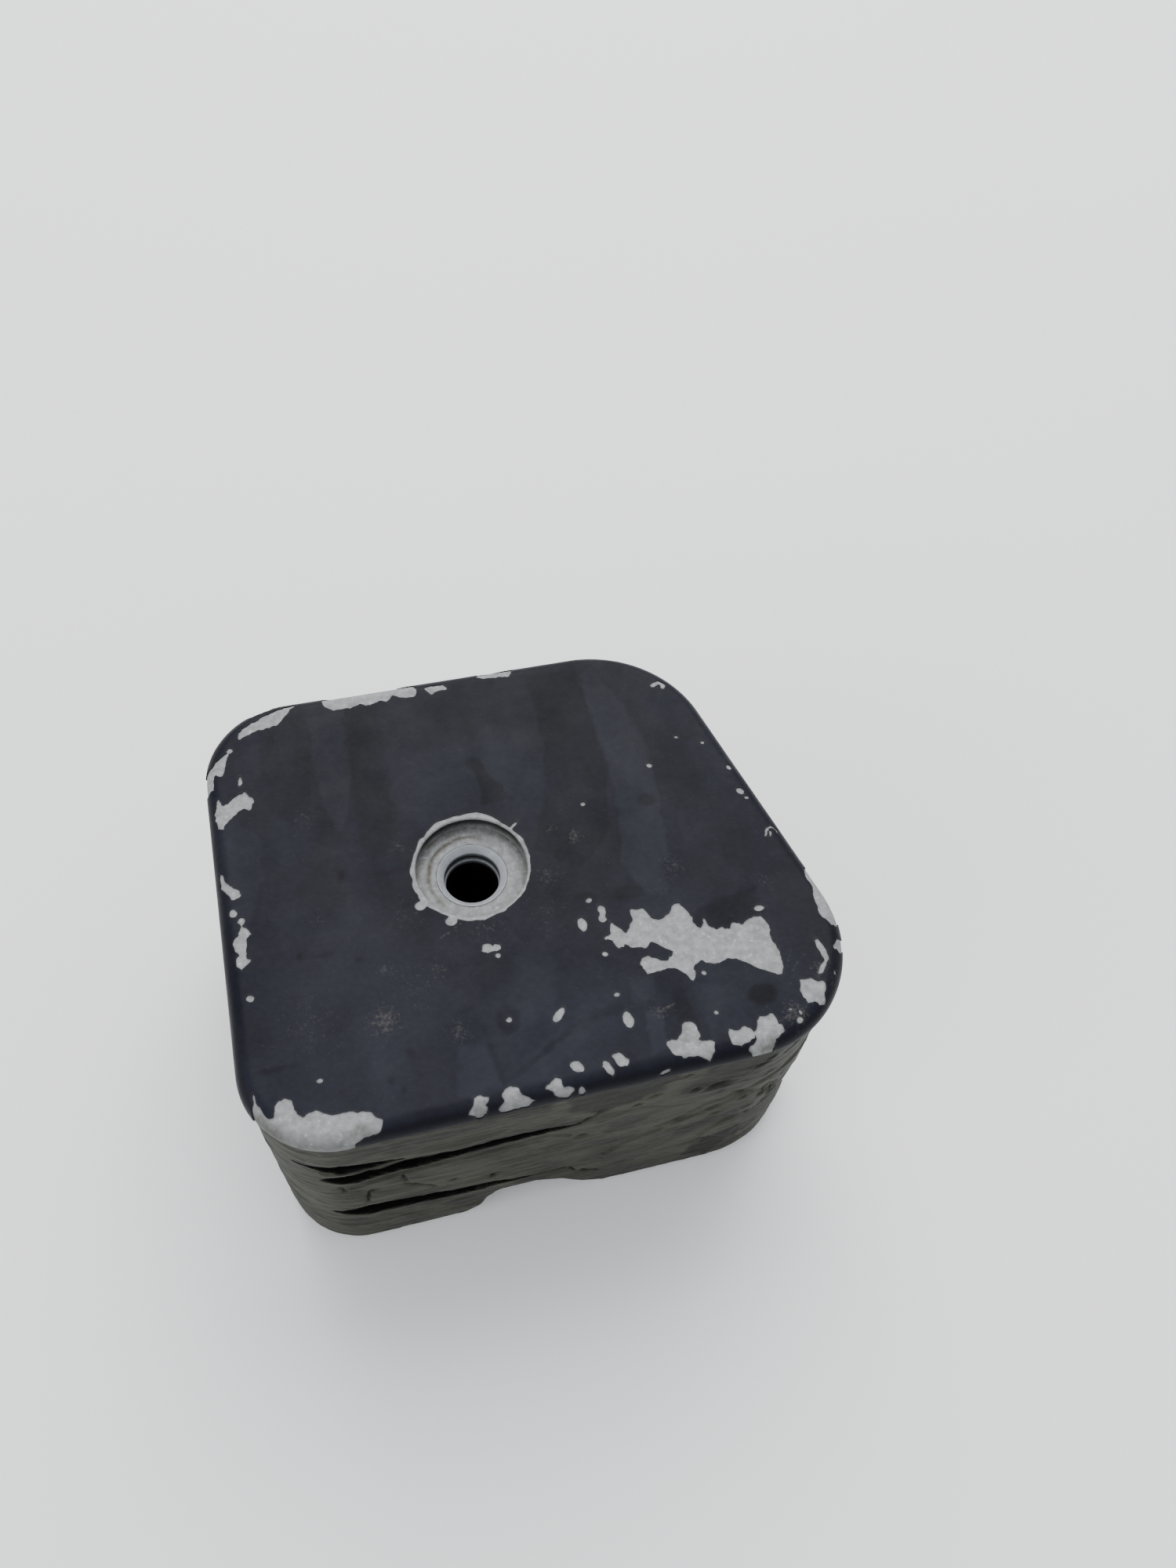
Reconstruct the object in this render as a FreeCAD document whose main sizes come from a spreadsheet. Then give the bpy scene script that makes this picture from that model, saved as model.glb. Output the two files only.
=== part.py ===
import FreeCAD, Part
import os

import Sketcher
from FreeCAD import Placement, Rotation, Vector

# A painted ballast block, cast in several pours around a steel bolt sleeve.
# +Z is up, the base rests on z = 0, and the bolt's axis is the Z axis.

# Driving dimensions, in millimetres and degrees.
DIMENSIONS = {
    # Plan of the block: a right trapezoid, square at its left side, around the bolt's axis.
    "left_reach": 41.5,
    "front_reach": 41.4,
    "back_reach": 40.6,
    "front_length": 104.5,
    "back_length": 85.0,
    "corner_front_left": 14.5,
    "corner_front_right": 20.0,
    "corner_back_right": 21.3,
    "corner_back_left": 14.7,
    # Heights and edges of the bare casting.
    "casting_height": 58.6,
    "face_radius": 2.6,
    "base_radius": 2.0,
    # Paint film on the face, down to the line where the rolled edge ends.
    "film": 0.2,
    "film_low_edge": 56.0,
    "film_hole_radius": 9.9,
    # Recess for a washer, and the sleeve that the bolt runs in.
    "seat_level": 55.6,
    "seat_radius": 9.4,
    "sleeve_radius": 6.0,
    "sleeve_mouth_radius": 5.85,
    "drilled_radius": 4.65,
    "drilled_top": 54.65,
    "drilled_bottom": 52.7,
    "bolt_hole_radius": 4.5,
    # Laps between the pours: each is a plane, given where it crosses the bolt's axis.
    "upper_lap_level": 41.2,
    "upper_lap_tilt": 5.0,
    "lower_lap_level": 16.6,
    "lower_lap_tilt": -4.0,
    "right_lap_level": -1.0,
    "right_lap_tilt": 50.0,
    # Hollow left in the front edge of the base, where two pours didn't meet.
    "hollow_left": 8.8,
    "hollow_right": 14.5,
    "hollow_crown_left": 4.2,
    "hollow_crown_right": 8.0,
    "hollow_height": 9.7,
    "hollow_shoulder": 7.2,
    "hollow_depth": 22.0,
    # Open laps on the front, each a flat lens cut into the side.
    "lens_depth": 4.5,
    "main_lens_middle": -14.0,
    "main_lens_level": 39.6,
    "main_lens_length": 30.0,
    "main_lens_height": 1.8,
    "main_lens_tilt": 7.0,
    "corner_lens_middle": -29.0,
    "corner_lens_level": 43.4,
    "corner_lens_length": 12.0,
    "corner_lens_height": 1.7,
    "corner_lens_tilt": -6.0,
    "foot_lens_middle": -17.0,
    "foot_lens_level": 18.3,
    "foot_lens_length": 22.0,
    "foot_lens_height": 1.4,
    "foot_lens_tilt": -5.0,
    # Size of the blocks that divide the casting, well past it on every side.
    "divider_reach": 120.0,
}
# How near two coordinates lie where they count as the same.
TOUCH = 1e-4
# How far the pours' volumes may miss the casting's, and what the openings take away at least.
VOLUME_ERROR = 1.0
LEAST_OPENING = 3000.0

doc = FreeCAD.newDocument("BallastBlock")
sheet = doc.addObject("Spreadsheet::Sheet", "Dimensions")
for row, (alias, value) in enumerate(DIMENSIONS.items(), start=1):
    sheet.set("A%d" % row, alias.replace("_", " "))
    sheet.set("B%d" % row, str(value))
    sheet.setAlias("B%d" % row, alias)
doc.recompute()


def cell(expression):
    """Put the sheet's name before every alias in an expression."""
    words = expression.split(" ")
    return " ".join("Dimensions." + w if w in DIMENSIONS else w for w in words)


def bind(thing, **expressions):
    """Bind properties of a document object to the sheet."""
    for name, expression in expressions.items():
        thing.setExpression(name.replace("__", "."), cell(expression))


def origin_plane(body, role):
    return next(f for f in body.Origin.OriginFeatures if f.Role == role)


def sketch_on(body, role, name):
    sketch = body.newObject("Sketcher::SketchObject", name)
    sketch.AttachmentSupport = [(origin_plane(body, role), "")]
    sketch.MapMode = "FlatFace"
    return sketch


def closed_polygon(sketch, corners):
    """Lines through the corners in turn, each joined to the next."""
    count = len(corners)
    for i in range(count):
        sketch.addGeometry(Part.LineSegment(corners[i], corners[(i + 1) % count]), False)
    for i in range(count):
        sketch.addConstraint(Sketcher.Constraint("Coincident", i, 2, (i + 1) % count, 1))


def distance(sketch, kind, first, second, expression):
    """A horizontal or vertical distance between two points, bound to the sheet."""
    index = sketch.addConstraint(Sketcher.Constraint(kind, *first, *second, 10.0))
    name = "size_%d" % index
    sketch.renameConstraint(index, name)
    sketch.setExpression("Constraints." + name, cell(expression))


def outline(body, grow):
    """The trapezoid in plan, grown by a margin on every side."""
    sketch = sketch_on(body, "XY_Plane", "Outline" + body.Name)
    d = DIMENSIONS
    left = -d["left_reach"]
    closed_polygon(
        sketch,
        [
            Vector(left, -d["front_reach"], 0),
            Vector(left + d["front_length"], -d["front_reach"], 0),
            Vector(left + d["back_length"], d["back_reach"], 0),
            Vector(left, d["back_reach"], 0),
        ],
    )
    sketch.addConstraint(Sketcher.Constraint("Horizontal", 0))
    sketch.addConstraint(Sketcher.Constraint("Horizontal", 2))
    sketch.addConstraint(Sketcher.Constraint("Vertical", 3))
    slope = "( front_length - back_length ) / ( front_reach + back_reach )"
    along = "%s * sqrt( 1 + ( %s ) ^ 2 )" % (grow, slope)
    origin = (-1, 1)
    distance(sketch, "DistanceX", (0, 1), origin, "left_reach + " + grow)
    distance(sketch, "DistanceY", (0, 1), origin, "front_reach + " + grow)
    distance(sketch, "DistanceY", origin, (2, 1), "back_reach + " + grow)
    front = "front_length + %s + %s + %s * %s" % (grow, along, grow, slope)
    back = "back_length + %s + %s - %s * %s" % (grow, along, grow, slope)
    distance(sketch, "DistanceX", (0, 1), (0, 2), front)
    distance(sketch, "DistanceX", (2, 2), (2, 1), back)
    return sketch


def upright_edge(shape, left, front):
    """The upright edge at one corner of the block."""
    found = []
    for number, edge in enumerate(shape.Edges, start=1):
        first, last = edge.Vertexes[0].Point, edge.Vertexes[-1].Point
        upright = abs(first.x - last.x) < TOUCH and abs(first.y - last.y) < TOUCH
        if upright and (first.x < 0) == left and (first.y < 0) == front:
            found.append((abs(first.x) + abs(first.y), "Edge%d" % number))
    return max(found)[1]


def level_edges(shape, level):
    """Every edge that lies in one level plane."""
    names = []
    for number, edge in enumerate(shape.Edges, start=1):
        box = edge.BoundBox
        if abs(box.ZMin - level) < TOUCH and abs(box.ZMax - level) < TOUCH:
            names.append("Edge%d" % number)
    return names


def fillet(body, base, name, edges, radius):
    feature = body.newObject("PartDesign::Fillet", name + body.Name)
    feature.Base = (base, edges)
    bind(feature, Radius=radius)
    doc.recompute()
    return feature


def rounded_block(name, grow):
    """A block on the trapezoid with its corners and its face edge rounded."""
    body = doc.addObject("PartDesign::Body", name)
    pad = body.newObject("PartDesign::Pad", "Pad" + name)
    pad.Profile = outline(body, grow)
    bind(pad, Length="casting_height + " + grow)
    doc.recompute()
    feature = pad
    for corner, left, front in (
        ("corner_front_left", True, True),
        ("corner_front_right", False, True),
        ("corner_back_right", False, False),
        ("corner_back_left", True, False),
    ):
        edge = upright_edge(feature.Shape, left, front)
        feature = fillet(body, feature, corner, [edge], corner + " + " + grow)
    top = feature.Shape.BoundBox.ZMax
    edges = level_edges(feature.Shape, top)
    feature = fillet(body, feature, "FaceEdge", edges, "face_radius + " + grow)
    return body, feature


def cylinder(name, radius, bottom, top):
    tool = doc.addObject("Part::Cylinder", name)
    bind(tool, Radius=radius, Height="( %s ) - ( %s )" % (top, bottom))
    bind(tool, Placement__Base__z=bottom)
    return tool


def cut(name, base, tool):
    feature = doc.addObject("Part::Cut", name)
    feature.Base, feature.Tool = base, tool
    return feature


def common(name, base, tool):
    feature = doc.addObject("Part::Common", name)
    feature.Base, feature.Tool = base, tool
    return feature


def fuse(name, shapes):
    feature = doc.addObject("Part::MultiFuse", name)
    feature.Shapes = shapes
    return feature


def tilted(thing, tilt):
    """Turn an object about the Y axis, so that it rises to the right by a tilt."""
    angle = DIMENSIONS[tilt]
    axis = Vector(0, -1 if angle > 0 else 1, 0)
    thing.Placement = Placement(Vector(), Rotation(axis, abs(angle)))
    bind(thing, Placement__Rotation__Angle="abs( %s )" % tilt)


def half_space(name, level, tilt):
    """All that lies above a plane which rises to the right by its tilt."""
    tool = doc.addObject("Part::Box", name)
    tilted(tool, tilt)
    bind(
        tool,
        Length="2 * divider_reach",
        Width="2 * divider_reach",
        Height="divider_reach",
        Placement__Base__x="0 - divider_reach * cos( %s )" % tilt,
        Placement__Base__y="0 - divider_reach",
        Placement__Base__z="%s - divider_reach * sin( %s )" % (level, tilt),
    )
    return tool


def open_lap(name, stem):
    """A flat lens let into the front side, as a lap that stayed open there."""
    half_height, half_length = stem + "_height", stem + "_length"
    radius = "( %s ^ 2 + %s ^ 2 ) / ( 2 * %s )" % (half_length, half_height, half_height)
    arcs = []
    for side, sign in (("Upper", "-1"), ("Lower", "1")):
        arc = doc.addObject("Part::Cylinder", name + side)
        arc.Placement = Placement(Vector(), Rotation(Vector(1, 0, 0), 90))
        bind(
            arc,
            Radius=radius,
            Height="2 * lens_depth",
            Placement__Base__y="lens_depth",
            Placement__Base__z="%s * ( %s - %s )" % (sign, radius, half_height),
        )
        arcs.append(arc)
    lens = common(name, *arcs)
    tilted(lens, stem + "_tilt")
    bind(
        lens,
        Placement__Base__x=stem + "_middle",
        Placement__Base__y="0 - front_reach",
        Placement__Base__z=stem + "_level",
    )
    return lens


def base_hollow():
    """The hollow in the base's front edge: steep on the left, long on the right."""
    body = doc.addObject("PartDesign::Body", "BaseHollow")
    sketch = sketch_on(body, "XZ_Plane", "HollowProfile")
    d = DIMENSIONS
    closed_polygon(
        sketch,
        [
            Vector(-d["hollow_left"], -1, 0),
            Vector(d["hollow_right"], -1, 0),
            Vector(d["hollow_crown_right"], d["hollow_shoulder"], 0),
            Vector(0, d["hollow_height"], 0),
            Vector(-d["hollow_crown_left"], d["hollow_height"], 0),
        ],
    )
    sketch.addConstraint(Sketcher.Constraint("Horizontal", 0))
    sketch.addConstraint(Sketcher.Constraint("Horizontal", 3))
    origin = (-1, 1)
    distance(sketch, "DistanceY", (0, 1), origin, "1")
    distance(sketch, "DistanceX", (0, 1), origin, "hollow_left")
    distance(sketch, "DistanceX", origin, (0, 2), "hollow_right")
    distance(sketch, "DistanceX", origin, (1, 2), "hollow_crown_right")
    distance(sketch, "DistanceY", origin, (1, 2), "hollow_shoulder")
    distance(sketch, "DistanceX", (4, 1), origin, "hollow_crown_left")
    distance(sketch, "DistanceY", origin, (3, 1), "hollow_height")
    sketch.addConstraint(Sketcher.Constraint("PointOnObject", 3, 1, -2))
    pad = body.newObject("PartDesign::Pad", "HollowPad")
    pad.Profile = sketch
    pad.Midplane = True
    bind(pad, Length="2 * hollow_depth")
    bind(body, Placement__Base__y="0 - front_reach")
    doc.recompute()
    return body


# The whole casting, before it is divided at its laps.
casting, last = rounded_block("Casting", "0")
fillet(casting, last, "BaseEdge", level_edges(last.Shape, 0.0), "base_radius")
voids = fuse(
    "Voids",
    [
        cylinder("WasherRecess", "seat_radius", "seat_level", "casting_height + 1"),
        cylinder("SleeveBed", "sleeve_radius", "0 - 1", "seat_level + 1"),
        base_hollow(),
        open_lap("MainOpenLap", "main_lens"),
        open_lap("CornerOpenLap", "corner_lens"),
        open_lap("FootOpenLap", "foot_lens"),
    ],
)
opened = cut("OpenedCasting", casting, voids)

# The four pours, from the face down to the two feet.
above_upper_lap = half_space("AboveUpperLap", "upper_lap_level", "upper_lap_tilt")
above_lower_lap = half_space("AboveLowerLap", "lower_lap_level", "lower_lap_tilt")
above_right_lap = half_space("AboveRightLap", "right_lap_level", "right_lap_tilt")
face_pour = common("FacePour", opened, above_upper_lap)
lower_part = cut("LowerPart", opened, above_upper_lap)
right_foot = cut("RightFootPour", lower_part, above_right_lap)
left_part = common("LeftPart", lower_part, above_right_lap)
middle_pour = common("MiddlePour", left_part, above_lower_lap)
left_foot = cut("LeftFootPour", left_part, above_lower_lap)

# The steel sleeve: a tube, drilled out a little and countersunk at its mouth.
tube = cylinder("Tube", "sleeve_radius", "0", "seat_level")
mouth = doc.addObject("Part::Cone", "Mouth")
bind(
    mouth,
    Radius1="drilled_radius",
    Radius2="sleeve_mouth_radius",
    Height="seat_level - drilled_top",
    Placement__Base__z="drilled_top",
)
tube_voids = fuse(
    "TubeVoids",
    [
        cylinder("BoltHole", "bolt_hole_radius", "0 - 1", "drilled_bottom + 1"),
        cylinder("DrilledHole", "drilled_radius", "drilled_bottom", "drilled_top"),
        mouth,
    ],
)
bolt_sleeve = cut("BoltSleeve", tube, tube_voids)

# The paint film over the face and its rolled edge, cut back around the recess.
film_block, _ = rounded_block("FilmBlock", "film")
bare_block, _ = rounded_block("BareBlock", "0")
film_shell = cut("FilmShell", film_block, bare_block)
below_film = doc.addObject("Part::Box", "BelowFilm")
bind(
    below_film,
    Length="2 * divider_reach",
    Width="2 * divider_reach",
    Height="film_low_edge + 1",
    Placement__Base__x="0 - divider_reach",
    Placement__Base__y="0 - divider_reach",
    Placement__Base__z="0 - 1",
)
film_hole = cylinder("FilmHole", "film_hole_radius", "film_low_edge", "casting_height + 2")
face_coat = cut("FaceCoat", film_shell, fuse("FilmVoids", [below_film, film_hole]))

NODES = {
    "face_coat": face_coat,
    "face_pour": face_pour,
    "middle_pour": middle_pour,
    "left_foot_pour": left_foot,
    "right_foot_pour": right_foot,
    "bolt_sleeve": bolt_sleeve,
}
for label, node in NODES.items():
    node.Label = label
doc.recompute()

for thing in doc.Objects:
    if "Invalid" in thing.State or "Error" in thing.State:
        raise RuntimeError("%s did not build" % thing.Name)
for label, node in NODES.items():
    shape = node.Shape
    if shape.isNull() or not shape.isValid() or len(shape.Solids) != 1:
        raise RuntimeError("%s is not one valid solid" % label)
poured = sum(NODES[n].Shape.Volume for n in NODES if n.endswith("_pour"))
if abs(poured - opened.Shape.Volume) > VOLUME_ERROR:
    raise RuntimeError("the pours do not make up the casting")
if opened.Shape.Volume > casting.Shape.Volume - LEAST_OPENING:
    raise RuntimeError("the openings were not cut")

os.makedirs("parts", exist_ok=True)
for label, node in NODES.items():
    node.Shape.exportStep("parts/%s.step" % label)
    box = node.Shape.BoundBox
    size = (label, node.Shape.Volume / 1000, box.XLength, box.YLength, box.ZLength)
    print("%-16s %8.2f cm3  %6.1f x %6.1f x %6.1f mm" % size)
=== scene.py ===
"""Looks for a bolt-down ballast block: a lead casting poured in stages round a
steel sleeve, with a worn paint film over its face.  Lengths are in millimetres
in the block's own frame (origin on the bolt axis in the base plane, +Z up, the
long front side towards -Y) and become metres only when a mesh is made."""

import math

import bmesh
import bpy
import numpy as np
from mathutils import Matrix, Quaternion, Vector


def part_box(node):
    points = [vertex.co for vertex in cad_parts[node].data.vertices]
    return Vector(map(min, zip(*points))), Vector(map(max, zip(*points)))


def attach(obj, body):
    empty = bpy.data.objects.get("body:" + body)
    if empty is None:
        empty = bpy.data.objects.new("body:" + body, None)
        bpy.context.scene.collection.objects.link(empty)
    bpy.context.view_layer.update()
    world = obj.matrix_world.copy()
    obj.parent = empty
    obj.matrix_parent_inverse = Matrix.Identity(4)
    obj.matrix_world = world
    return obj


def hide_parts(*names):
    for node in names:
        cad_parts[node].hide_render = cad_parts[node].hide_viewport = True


MM = 0.001
FAR = 1e9
LATTICE = 211

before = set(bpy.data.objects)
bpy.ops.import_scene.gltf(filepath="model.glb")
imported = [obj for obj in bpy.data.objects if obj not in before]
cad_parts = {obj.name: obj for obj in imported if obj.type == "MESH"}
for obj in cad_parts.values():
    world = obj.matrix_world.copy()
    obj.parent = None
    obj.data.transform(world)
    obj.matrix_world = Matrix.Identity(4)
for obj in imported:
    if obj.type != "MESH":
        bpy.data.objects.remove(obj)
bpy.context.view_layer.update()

# Sizes that the frame gives.
face_low, face_high = (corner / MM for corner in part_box("face_pour"))
film_low, film_high = (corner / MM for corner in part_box("face_coat"))
sleeve_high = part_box("bolt_sleeve")[1] / MM
CASTING_TOP = face_high.z
FILM_TOP = film_high.z
FILM_EDGE = film_low.z
SLEEVE_R = sleeve_high.x
SEAT = sleeve_high.z

# Sizes of the block that the frame's boxes don't show.
FRONT_LENGTH = 104.5
BACK_LENGTH = 85
CORNER_RADII = (14.5, 20, 21.3, 14.7)
FACE_RADIUS = 2.6
BASE_RADIUS = 3.2
FILM_RADIUS = FILM_TOP - FILM_EDGE
SEAT_R = 9.4
FILM_HOLE_R = 9.9

# The lap planes between the pours: height on the bolt axis, and rise to the right.
UPPER_LAP = (41.2, 5)
LOWER_LAP = (16.6, -4)
RIGHT_LAP = (-1, 50)


# ---- helpers


def smooth(low, high, value):
    """0 below low, 1 above high, and a smooth step between them."""
    t = np.clip((value - low) / (high - low), 0, 1)
    return t * t * (3 - 2 * t)


def noise(u, v, seed, period=LATTICE):
    """Smooth noise from -1 to 1 on a lattice that repeats after a period in u."""
    table = np.random.default_rng(seed).uniform(-1, 1, (period, LATTICE))
    iu, iv = np.floor(u).astype(int), np.floor(v).astype(int)
    fu, fv = u - iu, v - iv
    fu = fu * fu * (3 - 2 * fu)
    fv = fv * fv * (3 - 2 * fv)

    def at(du, dv):
        return table[(iu + du) % period, (iv + dv) % LATTICE]

    near = at(0, 0) * (1 - fu) + at(1, 0) * fu
    far = at(0, 1) * (1 - fu) + at(1, 1) * fu
    return near * (1 - fv) + far * fv


def layered(u, v, seed, layers=3, period=LATTICE):
    """Noise with finer layers added, each half as strong as the last."""
    total = 0
    for k in range(layers):
        total = total + noise(u * 2**k, v * 2**k, seed + k, period * 2**k) / 2**k
    return total / 1.5


def segment_distance(a, b, x, y):
    """Distance from points to the straight line between a and b."""
    dx, dy = b[0] - a[0], b[1] - a[1]
    t = ((x - a[0]) * dx + (y - a[1]) * dy) / max(dx * dx + dy * dy, 1e-12)
    t = np.clip(t, 0, 1)
    return np.hypot(x - a[0] - t * dx, y - a[1] - t * dy)


def line_distance(points, x, y):
    """Distance to an open line through the points."""
    best = np.full(x.shape, FAR)
    for a, b in zip(points, points[1:]):
        best = np.minimum(best, segment_distance(a, b, x, y))
    return best


def polygon_distance(points, x, y, reach=6):
    """Signed distance to a closed outline, negative inside; FAR beyond the reach."""
    result = np.full(x.shape, FAR)
    low = np.min(points, axis=0) - reach
    high = np.max(points, axis=0) + reach
    close = (x > low[0]) & (x < high[0]) & (y > low[1]) & (y < high[1])
    px, py = x[close], y[close]
    best = np.full(px.shape, FAR)
    inside = np.zeros(px.shape, bool)
    for a, b in zip(points, list(points[1:]) + [points[0]]):
        best = np.minimum(best, segment_distance(a, b, px, py))
        if a[1] != b[1]:
            across = a[0] + (py - a[1]) * (b[0] - a[0]) / (b[1] - a[1])
            inside ^= ((a[1] > py) != (b[1] > py)) & (px < across)
    result[close] = np.where(inside, -best, best)
    return result


def oval_distance(x, y, cx, cy, rx, ry, turn=0):
    """Distance to an oval: its centre, half width, half height and turn in degrees."""
    c, s = math.cos(math.radians(turn)), math.sin(math.radians(turn))
    u = ((x - cx) * c + (y - cy) * s) / rx
    v = ((y - cy) * c - (x - cx) * s) / ry
    return (np.hypot(u, v) - 1) * min(rx, ry)


def facing(angle, toward):
    """1 at an angle in degrees, falling to 0 a quarter turn away from it."""
    return np.clip(np.cos(np.radians(angle - toward)), 0, 1)


def band(value, middle, width):
    """1 at the middle of a soft band, falling to 0 on both sides of it."""
    return np.exp(-(((value - middle) / width) ** 2))


# ---- the outline


class Outline:
    """The block's plan: four straight sides and four round corners, taken
    anticlockwise.  Run is the distance along it, and equals x on the front."""

    def __init__(self):
        left, front, back = face_low.x, face_low.y, face_high.y
        right, back_right = left + FRONT_LENGTH, left + BACK_LENGTH
        corners = [(left, front), (right, front), (back_right, back), (left, back)]
        corners = np.array(corners)
        along = np.roll(corners, -1, axis=0) - corners
        along /= np.linalg.norm(along, axis=1)[:, None]
        self.normals = np.stack([along[:, 1], -along[:, 0]], axis=-1)
        self.levels = np.sum(self.normals * corners, axis=1)
        self.centres = []
        for k, (corner, radius) in enumerate(zip(corners, CORNER_RADII)):
            n0, n1 = self.normals[k - 1], self.normals[k]
            self.centres.append(corner - radius * (n0 + n1) / (1 + n0 @ n1))
        self.lay_out()

    def lay_out(self):
        """Lists each side (radius 0) and the corner after it: where its run begins,
        its length, its first point or its centre, its first normal and its radius."""
        self.parts = []
        run = self.centres[0][0]
        for k in range(4):
            nxt = (k + 1) % 4
            n, m = self.normals[k], self.normals[nxt]
            first = self.centres[k] + n * CORNER_RADII[k]
            last = self.centres[nxt] + n * CORNER_RADII[nxt]
            length = np.linalg.norm(last - first)
            self.parts.append((run, length, first, n, 0))
            run += length
            radius = CORNER_RADII[nxt]
            length = math.acos(n @ m) * radius
            self.parts.append((run, length, self.centres[nxt], n, radius))
            run += length
        self.start = self.parts[0][0]
        self.length = run - self.start

    def at(self, run):
        """Points and outward normals at distances along the outline."""
        run = np.mod(run - self.start, self.length) + self.start
        point = np.zeros((len(run), 2))
        normal = np.zeros((len(run), 2))
        for begin, length, place, n, radius in self.parts:
            here = (run >= begin) & (run < begin + length + 1e-9)
            gone = (run[here] - begin)[:, None]
            if radius:
                angle = math.atan2(n[1], n[0]) + gone / radius
                normal[here] = np.hstack([np.cos(angle), np.sin(angle)])
                point[here] = place + radius * normal[here]
            else:
                normal[here] = n
                point[here] = place + gone * np.array([-n[1], n[0]])
        return point, normal

    def beyond(self, x, y, inset):
        """Signed distance past the outline drawn in by an inset, and the normals."""
        p = np.stack([x, y], axis=-1)
        sides = np.stack([p @ n - b + inset for n, b in zip(self.normals, self.levels)])
        nearest = np.argmax(sides, axis=0)
        distance = np.max(sides, axis=0)
        normal = self.normals[nearest]
        for k, (centre, radius) in enumerate(zip(self.centres, CORNER_RADII)):
            n0, n1 = self.normals[k - 1], self.normals[k]
            off = p - centre
            along = np.linalg.solve(np.array([n0, n1]).T, off.reshape(-1, 2).T)
            wedge = ((along[0] > 0) & (along[1] > 0)).reshape(x.shape)
            size = np.linalg.norm(off, axis=-1)
            distance = np.where(wedge, size - radius + inset, distance)
            unit = off / np.maximum(size, 1e-9)[..., None]
            normal = np.where(wedge[..., None], unit, normal)
        return distance, normal


outline = Outline()

# ---- cast sides

# Laps that stayed open on the front side, as (run, height) outlines.
OPEN_LAPS = [
    # main lap, under the face pour
    [(-33, 37.4), (-30.5, 38.7), (-28, 39.8), (-25, 40.3), (-20, 41), (-10, 41.4),
     (-5, 41.8), (0, 42), (5, 41.3), (9.3, 40.4), (5, 39.9), (0, 39.3), (-5, 39),
     (-10, 38.4), (-15, 37.6), (-17.5, 36.2), (-20, 37), (-27, 36), (-30, 36.3)],
    # corner lap, above it
    [(-37, 44.5), (-33, 45.3), (-29, 46.4), (-26, 45.5), (-22, 44.2), (-19.5, 42.6),
     (-22, 42.4), (-25, 42), (-30, 41.7), (-33, 43)],
    # foot lap, over the left foot
    [(-33, 19), (-30, 20.4), (-27, 21.2), (-22, 20.8), (-17, 20.2), (-12, 19.5),
     (-7, 18.8), (-3, 17.8), (2.5, 16.3), (-3, 16.2), (-8, 16.2), (-22, 16.8),
     (-27, 17), (-31, 18)],
]
# Hairlines where a lap closed without fusing.
CRACKS = [
    [(9, 40.4), (10, 41.3), (13, 43.5)],
    [(2, 16.3), (8, 16)],
    [(11.5, 11.5), (12.5, 10.5), (14.5, 9.5)],
    [(9, 15), (10, 12.5)],
    [(-26.5, 24), (-26, 28), (-24, 29.3), (-21, 29.4), (-19, 27.5), (-16.5, 25.5), (-15, 23.7)],
    [(-30.5, 33.5), (-30, 31)],
    [(-20, 34), (-19.7, 31)],
    [(-5.3, 23), (-4.7, 21.5)],
    [(36.5, 37.4), (38.5, 35.8)],
    [(44, 37.4), (46, 35.8)],
]
# Tongues of metal that lie proud of what is round them.
TONGUES = [
    [(15, 15), (14.5, 19), (17, 21), (20, 23.5), (25, 25), (29, 30), (32, 34), (40, 36),
     (46, 30), (44, 20), (38, 15), (26, 12)],
    [(24, 27), (30, 30), (36, 33), (41, 38), (52, 41), (60, 38), (62, 28), (52, 20), (38, 24)],
    [(33, 16), (36, 20), (40, 23.5), (52, 20), (58, 10), (44, 7)],
    [(-33, 41.2), (-20, 41.2), (-18, 40.8), (-20, 40.4), (-32.5, 40.2)],
    [(-30, 33), (-20, 35), (-8, 35.5), (4, 37), (9, 34), (0, 30), (-12, 29), (-26, 30)],
]
# Blow holes and dents: run, height, radius, depth.
PITS = [
    (33, 44, 1.5, 1.1), (21.7, 46.3, 0.8, 0.6), (19, 43.8, 0.6, 0.5), (13, 44, 0.7, 0.5),
    (28.8, 44.5, 0.7, 0.5), (26.5, 52.5, 0.6, 0.5), (39.5, 49.8, 0.8, 0.6),
    (42.5, 43.5, 0.6, 0.5), (39, 34.3, 0.7, 0.5), (34.5, 28.5, 0.8, 0.6), (41, 27.3, 0.7, 0.6),
    (45.5, 30, 0.6, 0.5), (43.5, 11.5, 0.9, 0.6), (41, 52, 0.6, 0.5), (10.5, 33, 0.7, 0.5),
    (-5, 22.3, 0.5, 0.5), (-12, 25, 0.8, 0.4), (52, 46, 0.8, 0.5),
]
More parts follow.
